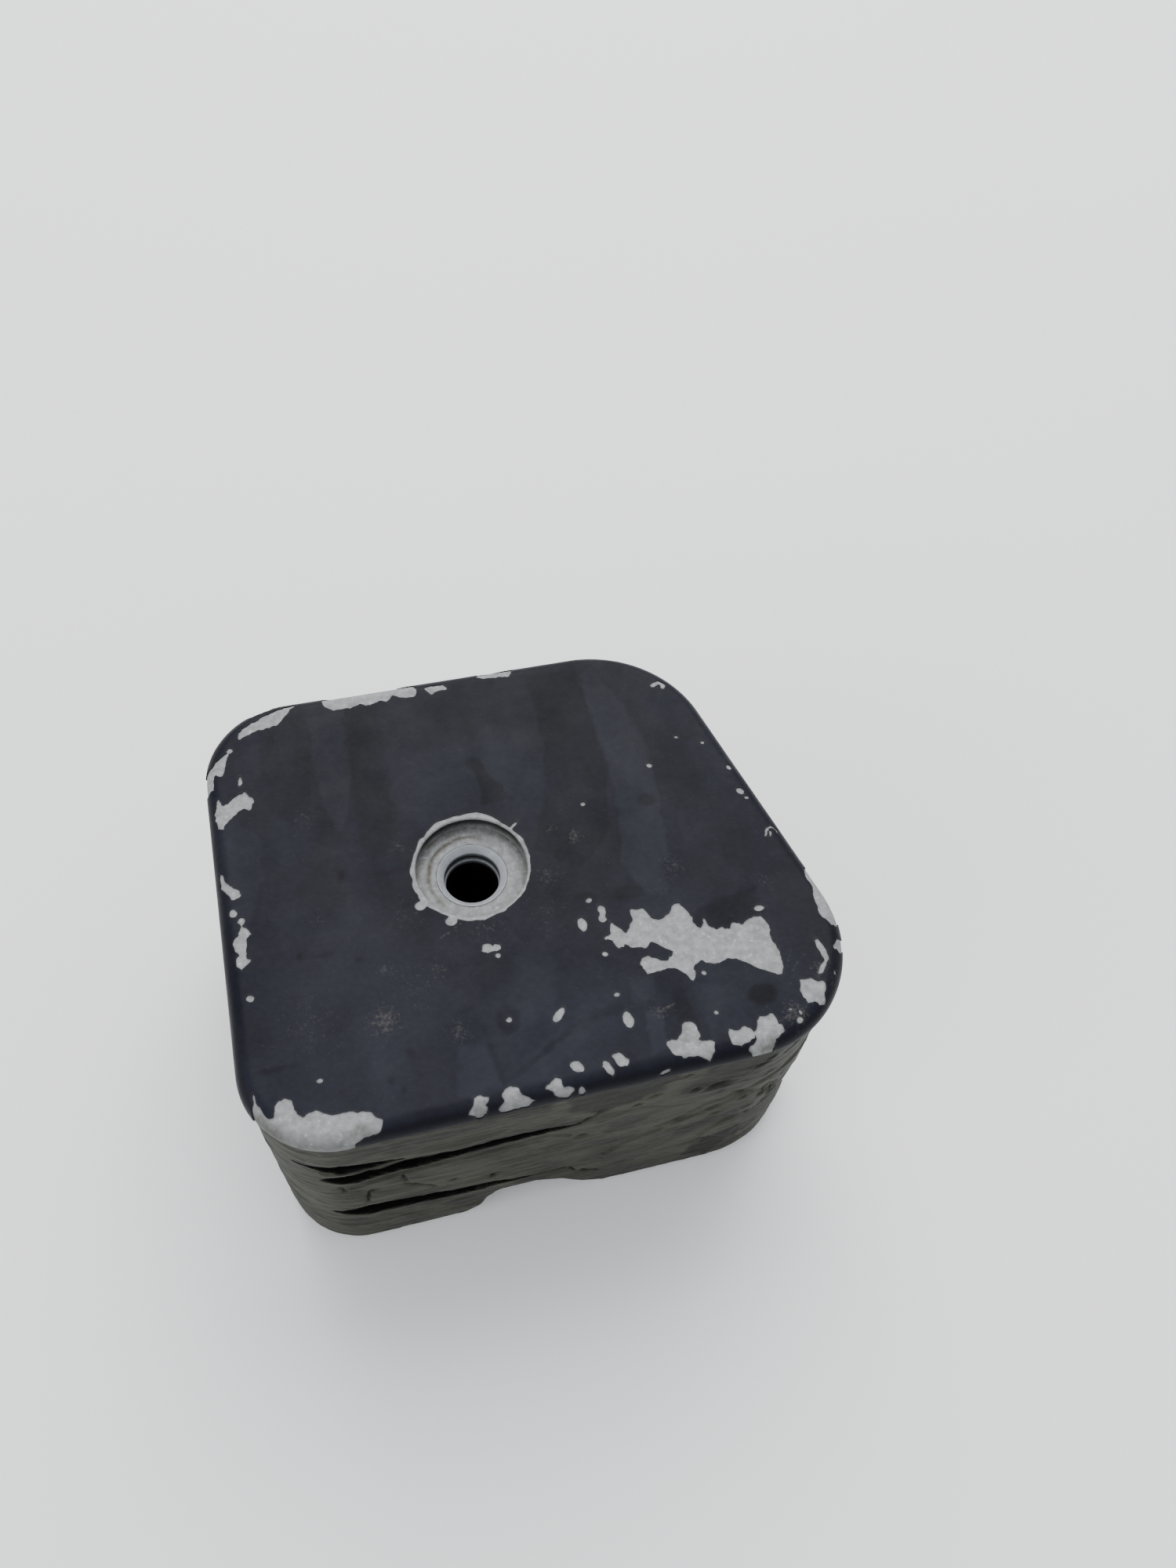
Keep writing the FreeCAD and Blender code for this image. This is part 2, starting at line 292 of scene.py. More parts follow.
# Patches of the skin that are darker (below 0) or lighter, as (run, height) outlines.
SKIN_PATCHES = [
    ([(8, 47), (12, 44.3), (18, 44.8), (22, 47.5), (25, 52), (24, 57), (6, 57)], -0.5),
    ([(26, 45.2), (36, 44.8), (40.5, 48), (42, 53), (40, 57), (29, 57), (30, 52)], -0.5),
    ([(31.5, 6), (36, 4.2), (41.5, 10), (42, 16), (38, 16.5), (34, 11)], -0.6),
    ([(27, 19), (34, 21), (39.5, 25), (38.5, 28), (33, 27.5), (29, 24)], -0.4),
    ([(14, 30.5), (20, 31), (21, 36), (15, 36)], -0.35),
    ([(-23, 57), (-21, 51), (-12, 49), (-4, 52), (4, 50), (6, 57)], -0.3),
    ([(24, 26), (30, 30), (36, 33), (42, 38), (40, 40), (32, 35.5), (24, 29)], 0.35),
    ([(10, 38), (22, 41), (33, 41.5), (33, 40), (22, 38.5), (12, 36)], 0.25),
    ([(-27, 25), (-24, 30), (-12, 31.5), (-4, 28), (-10, 24), (-20, 22)], 0.22),
    ([(16, 22), (28, 27), (28, 24), (18, 19)], 0.2),
]
# Brown stains on bare metal: strength, x, y, half width, half height, turn.
BARE_STAINS = [
    (0.55, -24.6, -39.9, 1.7, 0.9, 12), (0.45, 39.4, -41.6, 1.9, 1.7),
    (0.3, 26.4, -36.2, 1.5, 1.5), (0.35, -6.4, -41.3, 1.4, 1.8), (0.3, 43.6, -21.8, 1.2, 1.6),
    (0.5, -38.8, -37, 3.4, 2, -50),
]
# The hollow in the front of the base: (x, height) along its crown.
HOLLOW_CROWN = [
    (-11, 0), (-10, 0.4), (-8, 1.9), (-6, 6.5), (-4, 9.1), (-2, 9.7),
    (0, 9.7), (4, 8.9), (8, 7.2), (10, 4.6), (12, 2.4), (14, 1.2), (16, 0),
]
# How far the hollow goes in from the front, and how long its sloping end is.
HOLLOW_DEPTH, HOLLOW_END = 22, 5
LAP_DEPTH = 2.4
CRACK_DEPTH, CRACK_WIDTH = 0.5, 0.3
TONGUE_STEP = 0.42
# A seeded lap's course, as shares of its length and rise.
LAP_SHAPE = ((0, 0), (0.3, 0.2), (0.7, 0.8), (1, 1))
# Where the seeded laps and cracks may start.
BACK_RUNS, BACK_HEIGHTS = (82, 262), (8, 50)
CORNER_RUNS, CORNER_HEIGHTS = (42, 60), (20, 51)

# The casting's grid: fine columns over these runs, and the rows of each part.
FINE_RUNS = (-52, 76)
COLUMN_STEP = 0.36
COARSE_COLUMNS = 250
BORE_ROWS, SEAT_ROWS, WALL_ROWS = 10, 20, 8
FACE_ROWS, ROLL_ROWS, SIDE_ROWS, BASE_ROWS = 48, 8, 184, 40
# The casting's top lies this far under the sleeve's end, in the washer's seat.
SEAT_DEPTH = 0.06
LIP_R = 0.35
# How far down the side the front left corner is worn bright.
WORN_DEPTH = 1.6


def corner_cracks(seed, count):
    """Short cracks that climb to the right on the front right corner."""
    draw = np.random.default_rng(seed)
    cracks = []
    for _ in range(count):
        run, level = draw.uniform(*CORNER_RUNS), draw.uniform(*CORNER_HEIGHTS)
        length, slope = draw.uniform(0.7, 2.6), draw.uniform(0.4, 1.1)
        cracks.append([(run, level), (run + length, level + length * slope)])
    return cracks


def scattered_laps(seed, count):
    """Short laps and pits for the sides that the front list leaves out."""
    draw = np.random.default_rng(seed)
    laps, pits = [], []
    for _ in range(count):
        run, level = draw.uniform(*BACK_RUNS), draw.uniform(*BACK_HEIGHTS)
        length, rise = draw.uniform(5, 22), draw.uniform(-3, 3)
        laps.append([(run + length * t, level + rise * h) for t, h in LAP_SHAPE])
    for _ in range(5 * count):
        pits.append((draw.uniform(50, 265), draw.uniform(5, 53), draw.uniform(0.4, 1), 0.5))
    return laps, pits


BACK_CRACKS, BACK_PITS = scattered_laps(seed=31, count=26)
CORNER_CRACKS = corner_cracks(seed=37, count=30)


def open_laps(run, z):
    """How deep an open lap is at a place on the side, and how much shade is painted in it."""
    inside = np.full(run.shape, -FAR)
    wobble = 0.12 * noise(run / 3, z / 3, 71)
    for points in OPEN_LAPS:
        inside = np.maximum(inside, wobble + 0.22 - polygon_distance(points, run, z))
    return LAP_DEPTH * smooth(-0.1, 0.9, inside), smooth(-0.3, 0.05, inside)


def side_tone(run, z):
    """Darker and lighter patches of the cast skin."""
    tone = 0.12 * layered(run / 9, z / 6, 75)
    wavy = 1.3 * layered(run / 3.4, z / 2.2, 77)
    for points, lift in SKIN_PATCHES:
        tone = tone + lift * (1 - smooth(-0.6, 0.6, polygon_distance(points, run, z) + wavy))
    return tone


def skin_waves(run, z):
    """The cast skin's ripples, lobes and tongues, calmer on the front."""
    around = run / outline.length
    calm = 1 - 0.75 * smooth(2, 12, run) * (1 - smooth(56, 70, run))
    skin = 0.32 + (0.06 + 0.10 * calm) * layered(around * 23, z / 3.1, 41, 3, 23)
    skin += 0.13 * calm * layered(around * 31, z / 0.9, 44, 2, 31)
    skin += 0.06 * layered(around * 211, z / 1.4, 47, 2, 211)
    by_hand = smooth(-52, -40, run) * (1 - smooth(60, 76, run))
    for cells, rise, seed, step in ((17, 9, 201, 0.5), (37, 4.5, 205, 0.3)):
        field = layered(around * cells, z / rise, seed, 3, cells)
        lobe = smooth(-0.02, 0.02, field) * np.exp(-np.maximum(field, 0) * 5)
        skin += step * (1 - 0.75 * by_hand) * lobe
    for k, points in enumerate(TONGUES):
        away = polygon_distance(points, run, z) + 0.3 * noise(run / 2.1, z / 2.1, 50 + k)
        edge = smooth(-0.35, 0.25, away) * np.exp(-np.maximum(away, 0) / 3)
        skin += TONGUE_STEP * edge
    return skin


def add_cracks(skin, dark, run, z):
    """Deepens the skin along the hairlines and paints shade into them."""
    for points in CRACKS + BACK_CRACKS + CORNER_CRACKS:
        away = line_distance(points, run, z) + 0.12 * noise(run / 0.9, z / 0.9, 61)
        skin += CRACK_DEPTH * band(away, 0, CRACK_WIDTH)
        skin += 0.14 * np.exp(-np.maximum(away, 0) / 1.5)
        dark = np.maximum(dark, 0.7 * smooth(0.36, 0.08, away))
    return skin, dark


def add_pits(skin, dark, run, z):
    """Sinks the slanted blow holes, each with a low rim, and paints shade into them."""
    for pits, shade in ((PITS, 0.95), (BACK_PITS, 0.35)):
        for place, level, radius, deep in pits:
            along = run - place
            away = np.hypot(along / 1.5, (z - level - 0.3 * along) * 1.4) / radius
            skin += deep * np.exp(-(away**2) * 1.6) - 0.1 * band(away, 1.7, 0.5)
            dark = np.maximum(dark, shade * smooth(0.85, 0.4, away))
    return skin, dark


def side_depth(run, z):
    """How far the cast skin lies inside the outline, and how much shade is painted on it."""
    opened, dark = open_laps(run, z)
    skin, dark = add_cracks(skin_waves(run, z), dark, run, z)
    skin, dark = add_pits(skin, dark, run, z)
    return np.maximum(skin, 0.02) + opened, dark


def hollow_height(x, y):
    """Height of the base over the bench, in the hollow at the front."""
    crown = np.array(HOLLOW_CROWN)
    arch = np.interp(x, crown[:, 0], crown[:, 1])
    inner_end = face_low.y + HOLLOW_DEPTH
    return arch * (1 - smooth(inner_end - HOLLOW_END, inner_end, y))


def column_runs():
    """The casting's columns: close together on the front and its corners."""
    first, last = FINE_RUNS
    fine = np.arange(first, last, COLUMN_STEP)
    coarse = np.linspace(last, first + outline.length, COARSE_COLUMNS, endpoint=False)
    return np.concatenate([fine, coarse])


def bare_stains(place):
    """Brown stains on the bare metal of the face and its rolled edge."""
    x, y = place.T
    stain = np.zeros(x.shape)
    for strength, *spot in BARE_STAINS:
        away = oval_distance(x, y, *spot) + 0.3 * noise(x / 0.8, y / 0.8, 99)
        stain = np.maximum(stain, strength * (1 - smooth(-0.4, 0.4, away)))
    return stain


class Casting:
    """The casting's closed skin as rows of columns, from the bore round by the
    face, the side and the base back to the bore."""

    def __init__(self):
        self.run = column_runs()
        self.edge, self.normal = outline.at(self.run)
        self.ray = self.edge / np.linalg.norm(self.edge, axis=1)[:, None]
        self.rows = []
        self.marks = []
        self.bore()
        self.recess()
        self.face()
        self.side()
        self.base()

    def add(self, plan, z, skin=0, painted_shade=0, dirt=0, tone=0):
        """One row: its plan, its heights and what the material needs there."""
        z = np.broadcast_to(z, self.run.shape)
        self.rows.append(np.column_stack([plan, z]))
        marks = [np.broadcast_to(m, self.run.shape) for m in (skin, painted_shade, dirt, tone)]
        self.marks.append(np.stack(marks, axis=-1))

    def bore(self):
        """The seat of the sleeve, from the base up to the recess."""
        for z in np.linspace(0.2, SEAT, BORE_ROWS, endpoint=False):
            self.add(self.ray * SLEEVE_R, z)

    def recess(self):
        """The washer's seat with its rings of dirt and painted shade at the sleeve's join, the
        wall round it with painted shade on its far side, and the lip.
        """
        angle = np.degrees(np.arctan2(self.ray[:, 1], self.ray[:, 0]))
        for r in np.linspace(SLEEVE_R, SEAT_R, SEAT_ROWS):
            ragged = r + 0.25 * noise(angle / 14, r * 0.7, 81)
            ring = band(ragged, 7.4, 0.42) * (0.2 + 0.9 * facing(angle, 140))
            outer = band(ragged, 8.9, 0.4) * (0.3 + 0.7 * facing(angle, -90))
            corner = 0.5 * smooth(8.9, 9.4, r)
            dip = 0.05 * noise(angle / 9, r, 82)
            stain = 0.06 + 0.22 * layered(angle / 16, r * 1.5, 84)
            dirt = np.clip(np.maximum(ring, outer) + corner + stain, 0, 1)
            # Painted shade in the join between the seat and the sleeve.
            gap_shade = 0.22 * band(r, SLEEVE_R, 0.2)
            self.add(self.ray * r, SEAT - SEAT_DEPTH - dip, painted_shade=gap_shade, dirt=dirt)
        # Painted shade on the far side of the wall, darkest towards the rim.
        back = smooth(-0.1, 0.7, np.sin(np.radians(angle + 8)))
        for z in np.linspace(SEAT + 0.25, CASTING_TOP - LIP_R, WALL_ROWS):
            r = SEAT_R - 0.06 * noise(angle / 11, z, 83)
            shade = back * smooth(SEAT - 0.3, CASTING_TOP - 0.9, z) * 0.88
            self.add(self.ray * r[:, None], z, painted_shade=shade, dirt=0.3)
        for turn in np.linspace(0, math.pi / 2, 4):
            r = SEAT_R + LIP_R * (1 - math.cos(turn))
            self.add(self.ray * r, CASTING_TOP - LIP_R * (1 - math.sin(turn)), dirt=0.1)

    def face(self):
        """The flat face under the film, then its rolled edge."""
        flat_edge = self.edge - self.normal * FACE_RADIUS
        inner = self.ray * (SEAT_R + 0.6)
        for t in np.linspace(0, 1, FACE_ROWS):
            plan = inner + (flat_edge - inner) * t
            relief = 0.025 + 0.025 * layered(plan[:, 0] / 1.1, plan[:, 1] / 1.1, 91)
            self.add(plan, CASTING_TOP - relief, dirt=bare_stains(plan))
        for turn in np.linspace(0, math.pi / 2, ROLL_ROWS + 1)[1:]:
            out = FACE_RADIUS * math.sin(turn)
            plan = flat_edge + self.normal * (out - 0.03)
            # The bare metal is mixed towards the skin's colour further down the rolled edge, more
            # at the front left corner.
            roll_darkening = smooth(0.3, 1.4, turn) * (0.22 + 0.3 * self.bare_corner())
            place = flat_edge + self.normal * FACE_RADIUS * turn
            height = FILM_EDGE + FACE_RADIUS * math.cos(turn)
            self.add(plan, height, skin=roll_darkening, dirt=bare_stains(place))

    def side(self):
        """The rough side, then the base's rounded edge, up over the hollow."""
        on_front = self.normal[:, 1] < -0.999
        arch = hollow_height(self.run, np.full(self.run.shape, face_low.y))
        self.foot = np.where(on_front, arch, 0)
        top = FILM_EDGE - 0.12
        for t in np.linspace(0, 1, SIDE_ROWS):
            self.side_row(top - (top - (self.foot + BASE_RADIUS)) * t, 0)
        for turn in np.linspace(0, math.pi / 2, ROLL_ROWS + 2)[1:]:
            z = self.foot + BASE_RADIUS * (1 - math.sin(turn))
            self.side_row(z, BASE_RADIUS * (1 - math.cos(turn)))

    def bare_corner(self):
        """Columns of the front left corner, where the side's skin is worn bright."""
        return smooth(-45, -40, self.run) * (1 - smooth(-28, -24, self.run))

    def side_row(self, z, inset):
        """One row of the side; its relief fades out at the film and at the base."""
        depth, dark = side_depth(self.run, z)
        down = FILM_EDGE - z
        depth = depth * smooth(0, 1.2, down) * smooth(-0.5, 3.5, z - self.foot + 0.6)
        plan = self.edge - self.normal * (depth + inset)[:, None]
        ragged = down + 0.6 * noise(self.run, z, 95)
        bright = self.bare_corner() * (1 - smooth(WORN_DEPTH / 2, WORN_DEPTH, ragged))
        self.add(plan, z, 1 - bright, dark, tone=side_tone(self.run, z))

    def base(self):
        """The underside, flat on the bench but for small pits and the hollow."""
        outer = self.edge - self.normal * BASE_RADIUS
        inner = self.ray * SLEEVE_R
        for t in np.linspace(0, 1, BASE_ROWS)[1:]:
            plan = outer + (inner - outer) * t
            x, y = plan[:, 0], plan[:, 1]
            rough = np.maximum(layered(x / 5, y / 5, 97) - 0.1, 0) * 0.5
            rough = rough * smooth(0, 0.1, t) * (1 - smooth(0.9, 1, t))
            self.add(plan, hollow_height(x, y) + rough, skin=1)

    def mesh(self):
        """The rows joined into one closed mesh."""
        faces = ring_faces(len(self.rows), len(self.run))
        marks = np.concatenate(self.marks)
        named = dict(zip(("skin", "painted_shade", "dirt", "tone"), marks.T))
        return make_mesh("casting", np.concatenate(self.rows), faces, named)


def ring_faces(rows, columns):
    """Quads between rows of points, where the last row and column meet the first."""
    row, col = np.meshgrid(np.arange(rows), np.arange(columns), indexing="ij")
    up, nxt = (row + 1) % rows * columns, (col + 1) % columns
    row = row * columns
    return np.stack([row + col, row + nxt, up + nxt, up + col], -1).reshape(-1, 4).tolist()


# Edges that turn by more degrees than this stay sharp.
SHARP_ANGLE = 55


def make_mesh(name, points, faces, attributes):
    """A Blender mesh from millimetre points, with named numbers at its points."""
    mesh = bpy.data.meshes.new(name)
    mesh.from_pydata((points * MM).tolist(), [], faces)
    for key, values in attributes.items():
        layer = mesh.attributes.new(key, "FLOAT", "POINT")
        layer.data.foreach_set("value", values.astype(np.float32))
    mesh.shade_smooth()
    return mesh


def place_object(name, data):
    """A new object of the scene for a mesh, a lamp or a camera."""
    thing = bpy.data.objects.new(name, data)
    bpy.context.scene.collection.objects.link(thing)
    return thing


def add_piece(name, mesh, material, node):
    """A finished piece that stands for a node of the frame."""
    piece = place_object(name, mesh)
    mesh.materials.append(material)
    mesh.set_sharp_from_angle(angle=math.radians(SHARP_ANGLE))
    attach(piece, "root")
    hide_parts(node)


def lap_plane(lap):
    """A point on a lap plane and the normal on its upper side."""
    level, rise = lap
    angle = math.radians(rise)
    return Vector((0, 0, level * MM)), Vector((-math.sin(angle), 0, math.cos(angle)))


def keep_side(bm, lap, above):
    """Cuts a mesh at a lap plane, keeps one side and closes it."""
    place, normal = lap_plane(lap)
    geometry = bm.verts[:] + bm.edges[:] + bm.faces[:]
    cut = bmesh.ops.bisect_plane(
        bm, geom=geometry, dist=1e-7, plane_co=place, plane_no=normal,
        clear_inner=above, clear_outer=not above,
    )
    rim = [e for e in cut["geom_cut"] if isinstance(e, bmesh.types.BMEdge)]
    facing = -normal if above else normal
    bmesh.ops.triangle_fill(bm, use_beauty=True, edges=rim, normal=facing)


def pour_mesh(name, casting, cuts):
    """One pour: what the lap planes leave of the casting."""
    bm = bmesh.new()
    bm.from_mesh(casting)
    for lap, above in cuts:
        keep_side(bm, lap, above)
    bmesh.ops.recalc_face_normals(bm, faces=bm.faces[:])
    mesh = bpy.data.meshes.new(name)
    bm.to_mesh(mesh)
    bm.free()
    return mesh


POURS = {
    "face_pour": [(UPPER_LAP, True)],
    "middle_pour": [(UPPER_LAP, False), (RIGHT_LAP, True), (LOWER_LAP, True)],
    "left_foot_pour": [(UPPER_LAP, False), (RIGHT_LAP, True), (LOWER_LAP, False)],
    "right_foot_pour": [(UPPER_LAP, False), (RIGHT_LAP, False)],
}


def build_casting(material):
    """The casting, divided into its four pours."""
    whole = Casting().mesh()
    for node, cuts in POURS.items():
        mesh = pour_mesh(node + "_cast", whole, cuts)
        add_piece(node + "_cast", mesh, material, node)
    bpy.data.meshes.remove(whole)


# ---- paint film

# Places in the film are (x, y) on the face; past its flat part they go on
# outwards along the rolled edge.
CHIPS = [
    # the large bare patch on the right
    [(18.3, -17.6), (19.5, -17), (20.2, -15.2), (21.2, -16.7), (22, -17.7), (24, -15.3),
     (23.9, -13.9), (26, -14), (27, -16), (28.3, -16.6), (30, -15.7), (31.3, -14.2),
     (32.2, -14.2), (33.4, -17), (33.5, -18.8), (34.4, -19.8), (35.3, -17.9), (35.6, -19.2),
     (36.7, -20.3), (38, -20), (39, -20.8), (40, -19.5), (41.3, -20.3), (42.2, -19.5),
     (44.8, -19.3), (45.3, -21.3), (45, -23.7), (45.6, -25), (45.3, -27.7), (44.7, -29.8),
     (42.7, -29.2), (40, -26.7), (37.3, -25.3), (34.7, -25.8), (32.7, -24.8), (31.2, -25.5),
     (31.3, -27), (30.2, -28.2), (29.6, -26.7), (28.2, -25), (23.7, -25.3), (23, -23.3),
     (24.2, -22), (27.3, -23.8), (28.9, -22.3), (27.2, -21), (25.5, -19.7), (24.7, -20.8),
     (22.3, -20.3), (20.8, -18.7), (21.2, -19.9), (20.2, -19.8), (19.5, -18.3)],
    # below the washer recess
    [(-1.5, -15.7), (-1, -14.6), (0, -14.5), (0.3, -15), (1.8, -15.1), (1.7, -15.9), (-0.5, -16)],
    # the front right corner
    [(47.5, -32), (49, -31.8), (50, -32.7), (51.3, -32.7), (51.2, -34.3), (50.5, -34.7),
     (50.6, -36.2), (49.3, -36.3), (48.5, -35.5), (47.3, -35.6), (46.8, -33.5)],
    # the front edge, from right to left
    [(37.5, -38.8), (38, -37.7), (39, -36.2), (40.8, -36.2), (41.3, -37.3), (42.1, -39.2),
     (40.3, -40.3), (39.8, -43.2), (36.7, -43.2), (36, -41), (37.3, -40)],
    [(33.3, -38.2), (33.8, -37.3), (34.8, -37.6), (36, -37.2), (37, -38), (36.8, -39.2),
     (35.5, -39.7), (34.7, -40.2), (33.6, -39.5)],
    [(23.4, -38.8), (23.7, -36.8), (25.2, -37), (26.5, -36), (26.3, -34.7), (27.3, -34.3),
     (28.5, -35.3), (28.8, -37.3), (28.2, -37.7), (30.6, -38.5), (30.3, -40.2), (29.3, -41.7),
     (27.8, -40.2), (25.3, -39.7)],
    [(14.6, -37.3), (15.7, -37.1), (16.9, -38.2), (16.5, -39.3), (15.5, -39.2), (14.7, -38.5)],
    [(12.4, -38.5), (13, -37.9), (13.7, -38.1), (14.4, -39.5), (14, -40.4), (13.3, -39.5)],
    [(8, -37), (9.1, -37), (10, -38.1), (9.8, -38.8), (8.7, -38.4), (8, -37.7)],
    [(3.7, -40), (5.3, -38.6), (6, -39.1), (6, -40.4), (7.8, -40.9), (6.6, -42.6), (5.1, -42),
     (4.4, -40.6)],
    [(-3.1, -39.1), (-1.8, -38.6), (-0.7, -39.1), (-0.3, -40.2), (1.6, -41.6), (0.5, -42.5),
     (-3.6, -42.5), (-4, -41.4), (-3, -40.4)],
    [(-7.4, -39.1), (-6.3, -38.8), (-5.3, -39.5), (-5.9, -40.4), (-5.8, -42), (-7, -42.9),
     (-8.5, -41.4), (-7.8, -40.4)],
    # the front left corner, past the film's edge
    [(-36.3, -34.6), (-35.9, -33.4), (-34.8, -33), (-34, -33.3), (-33.5, -35.5), (-32.4, -36.2),
     (-30.5, -35.6), (-27.8, -37), (-25.5, -37), (-22.6, -37.8), (-21.4, -39.2), (-21.8, -40.8),
     (-24.7, -41.4), (-25.7, -42), (-25.9, -45), (-36, -46), (-44, -39), (-41.6, -36.2),
     (-40, -34), (-39.5, -32.5), (-39.2, -30.6), (-38.9, -32.8), (-37.8, -35.2), (-36.7, -35.9)],
    # the left edge, from the back
    [(-39.9, 29), (-39, 30), (-37.4, 30.8), (-37.8, 28.3), (-38.6, 26.6), (-39.8, 27),
     (-40.3, 24), (-43.5, 23.5), (-43.5, 28)],
    [(-39.6, 21.9), (-39, 20.1), (-38, 20.5), (-36.2, 22.1), (-34.9, 22.4), (-34, 20.3),
     (-34.4, 18.8), (-35.5, 19.2), (-37.1, 18.3), (-39.2, 15.9), (-40.1, 16.2), (-40.5, 19.2)],
    [(-40.8, 7.4), (-40.2, 6.9), (-39.9, 5.3), (-39.2, 4.4), (-37.6, 3.5), (-37.9, 2.4),
     (-39, 2), (-39.6, 3.3), (-40.9, 5)],
    [(-38, -3), (-37.1, -3.8), (-36.8, -4.8), (-37.6, -5.4), (-37.7, -6.7), (-38, -8.2),
     (-39.2, -7.4), (-39.5, -5.4), (-38.5, -4.5)],
    [(-39.2, -8.4), (-38.3, -8.5), (-37.5, -9.2), (-38.7, -10.8), (-39.2, -9.9)],
    # the back edge, from the left corner
    [(-34.9, 33.8), (-34.6, 35.3), (-32.4, 36.7), (-27.8, 38.8), (-24.6, 39.6), (-26.5, 37.4),
     (-28, 35.8), (-29.6, 35.1), (-31.9, 35.1)],
    [(-35.5, 39), (-31.5, 38.6), (-27, 40.4), (-22.5, 41), (-23.5, 42.2), (-27, 42.4),
     (-29.5, 45), (-34, 43.2), (-38, 42.2)],
    [(-17.5, 42.4), (-19.6, 40.6), (-19.3, 38), (-18, 36.8), (-15, 36.7), (-13, 37.2),
     (-11.5, 36.7), (-9.5, 37.3), (-8, 37), (-7, 38), (-4.5, 36.8), (-3, 37), (-2.7, 38.5),
     (-3.3, 40.3), (-6, 41.2), (-8.5, 44.5), (-12.5, 44), (-14.5, 41.8)],
    [(-1, 38.3), (-0.5, 36.8), (1, 37.2), (2.8, 37.5), (2, 38.5), (0, 38.9)],
    [(8.8, 39), (10.5, 38.6), (12, 38.2), (14, 38), (15, 38.5), (15.5, 40), (12, 41.5), (9, 41)],
    # the right edge
    [(55.7, -11.5), (54.8, -13.8), (55.5, -15.8), (54.7, -18), (54.7, -21), (55.4, -22.7),
     (56.5, -23.8), (60, -22), (61, -17), (58.5, -11.5)],
    [(54.7, -27.2), (56, -26.2), (59.5, -26), (59.5, -28), (55.7, -28.3)],
]
# Small round or oval chips: x, y, half width, half height, turn (0 if left out).
SPOTS = [
    (15.5, -14.5, 0.6, 1), (17.6, -10.4, 0.35, 0.35), (19.2, -12.5, 0.5, 0.8, 15),
    (18.9, -14.2, 0.55, 0.6), (17.8, -20.4, 0.3, 0.3), (17.8, -27.6, 0.5, 0.4),
    (18.5, -32.1, 0.7, 1.2), (45, -17.9, 0.8, 0.5), (32.4, -34, 0.3, 0.3),
    (52.7, -27.3, 0.5, 1.7, 8), (45.1, -38.2, 0.6, 0.5), (44.1, -36.1, 0.25, 0.2),
    (45.6, -36.9, 0.2, 0.3), (8, -29, 1.15, 0.5, 45), (0.3, -28, 0.35, 0.35),
    (34.8, 13.5, 0.35, 0.35), (41.2, 18.4, 0.3, 0.25), (45.6, 16.3, 0.3, 0.25, 30),
    (48.8, 10.2, 0.4, 0.5), (49.1, 4.9, 0.5, 0.7, 20), (49.8, 3.4, 0.3, 0.3), (21.2, 8, 0.3, 0.3),
    (0.9, -16.9, 0.4, 0.35), (22, -41.8, 0.7, 0.4, 20), (8.8, -41.8, 0.3, 0.6),
    (-36.7, 31.5, 0.4, 0.4), (-35.6, 24.8, 0.25, 0.6), (-39.1, -0.4, 0.6, 0.6),
    (-38, -2.1, 0.5, 0.5), (-38, -15.8, 0.5, 0.5), (53.7, -31.7, 0.3, 0.25),
    (32.5, -27.1, 0.25, 0.25), (51.5, -30.6, 0.9, 0.2, 45), (-29.3, -31.2, 0.3, 0.25),
]
# Narrow scrapes through the film, as lines with a width.
SCRAPES = [
    ([(40.3, 30.7), (41.5, 31.1), (42.3, 30.4), (42, 29.8)], 0.32),
    ([(50.6, -4.8), (51.2, -3.6), (52.3, -3.2), (53.2, -3.9), (52.9, -4.7)], 0.12),
    ([(51.8, -4.1), (51.4, -5)], 0.08),
]
# Lobes of bare metal that widen the ragged ring round the recess.
RING_LOBES = [(-9.6, -5.5, 0.95, 0.9), (-5.2, -9.3, 1, 0.9), (8.6, 6.4, 0.9, 0.3, 38)]
PAINT_ISLANDS = [(34.5, -22, 0.25, 0.6, -30), (28.3, -23.2, 0.5, 0.2, 20)]

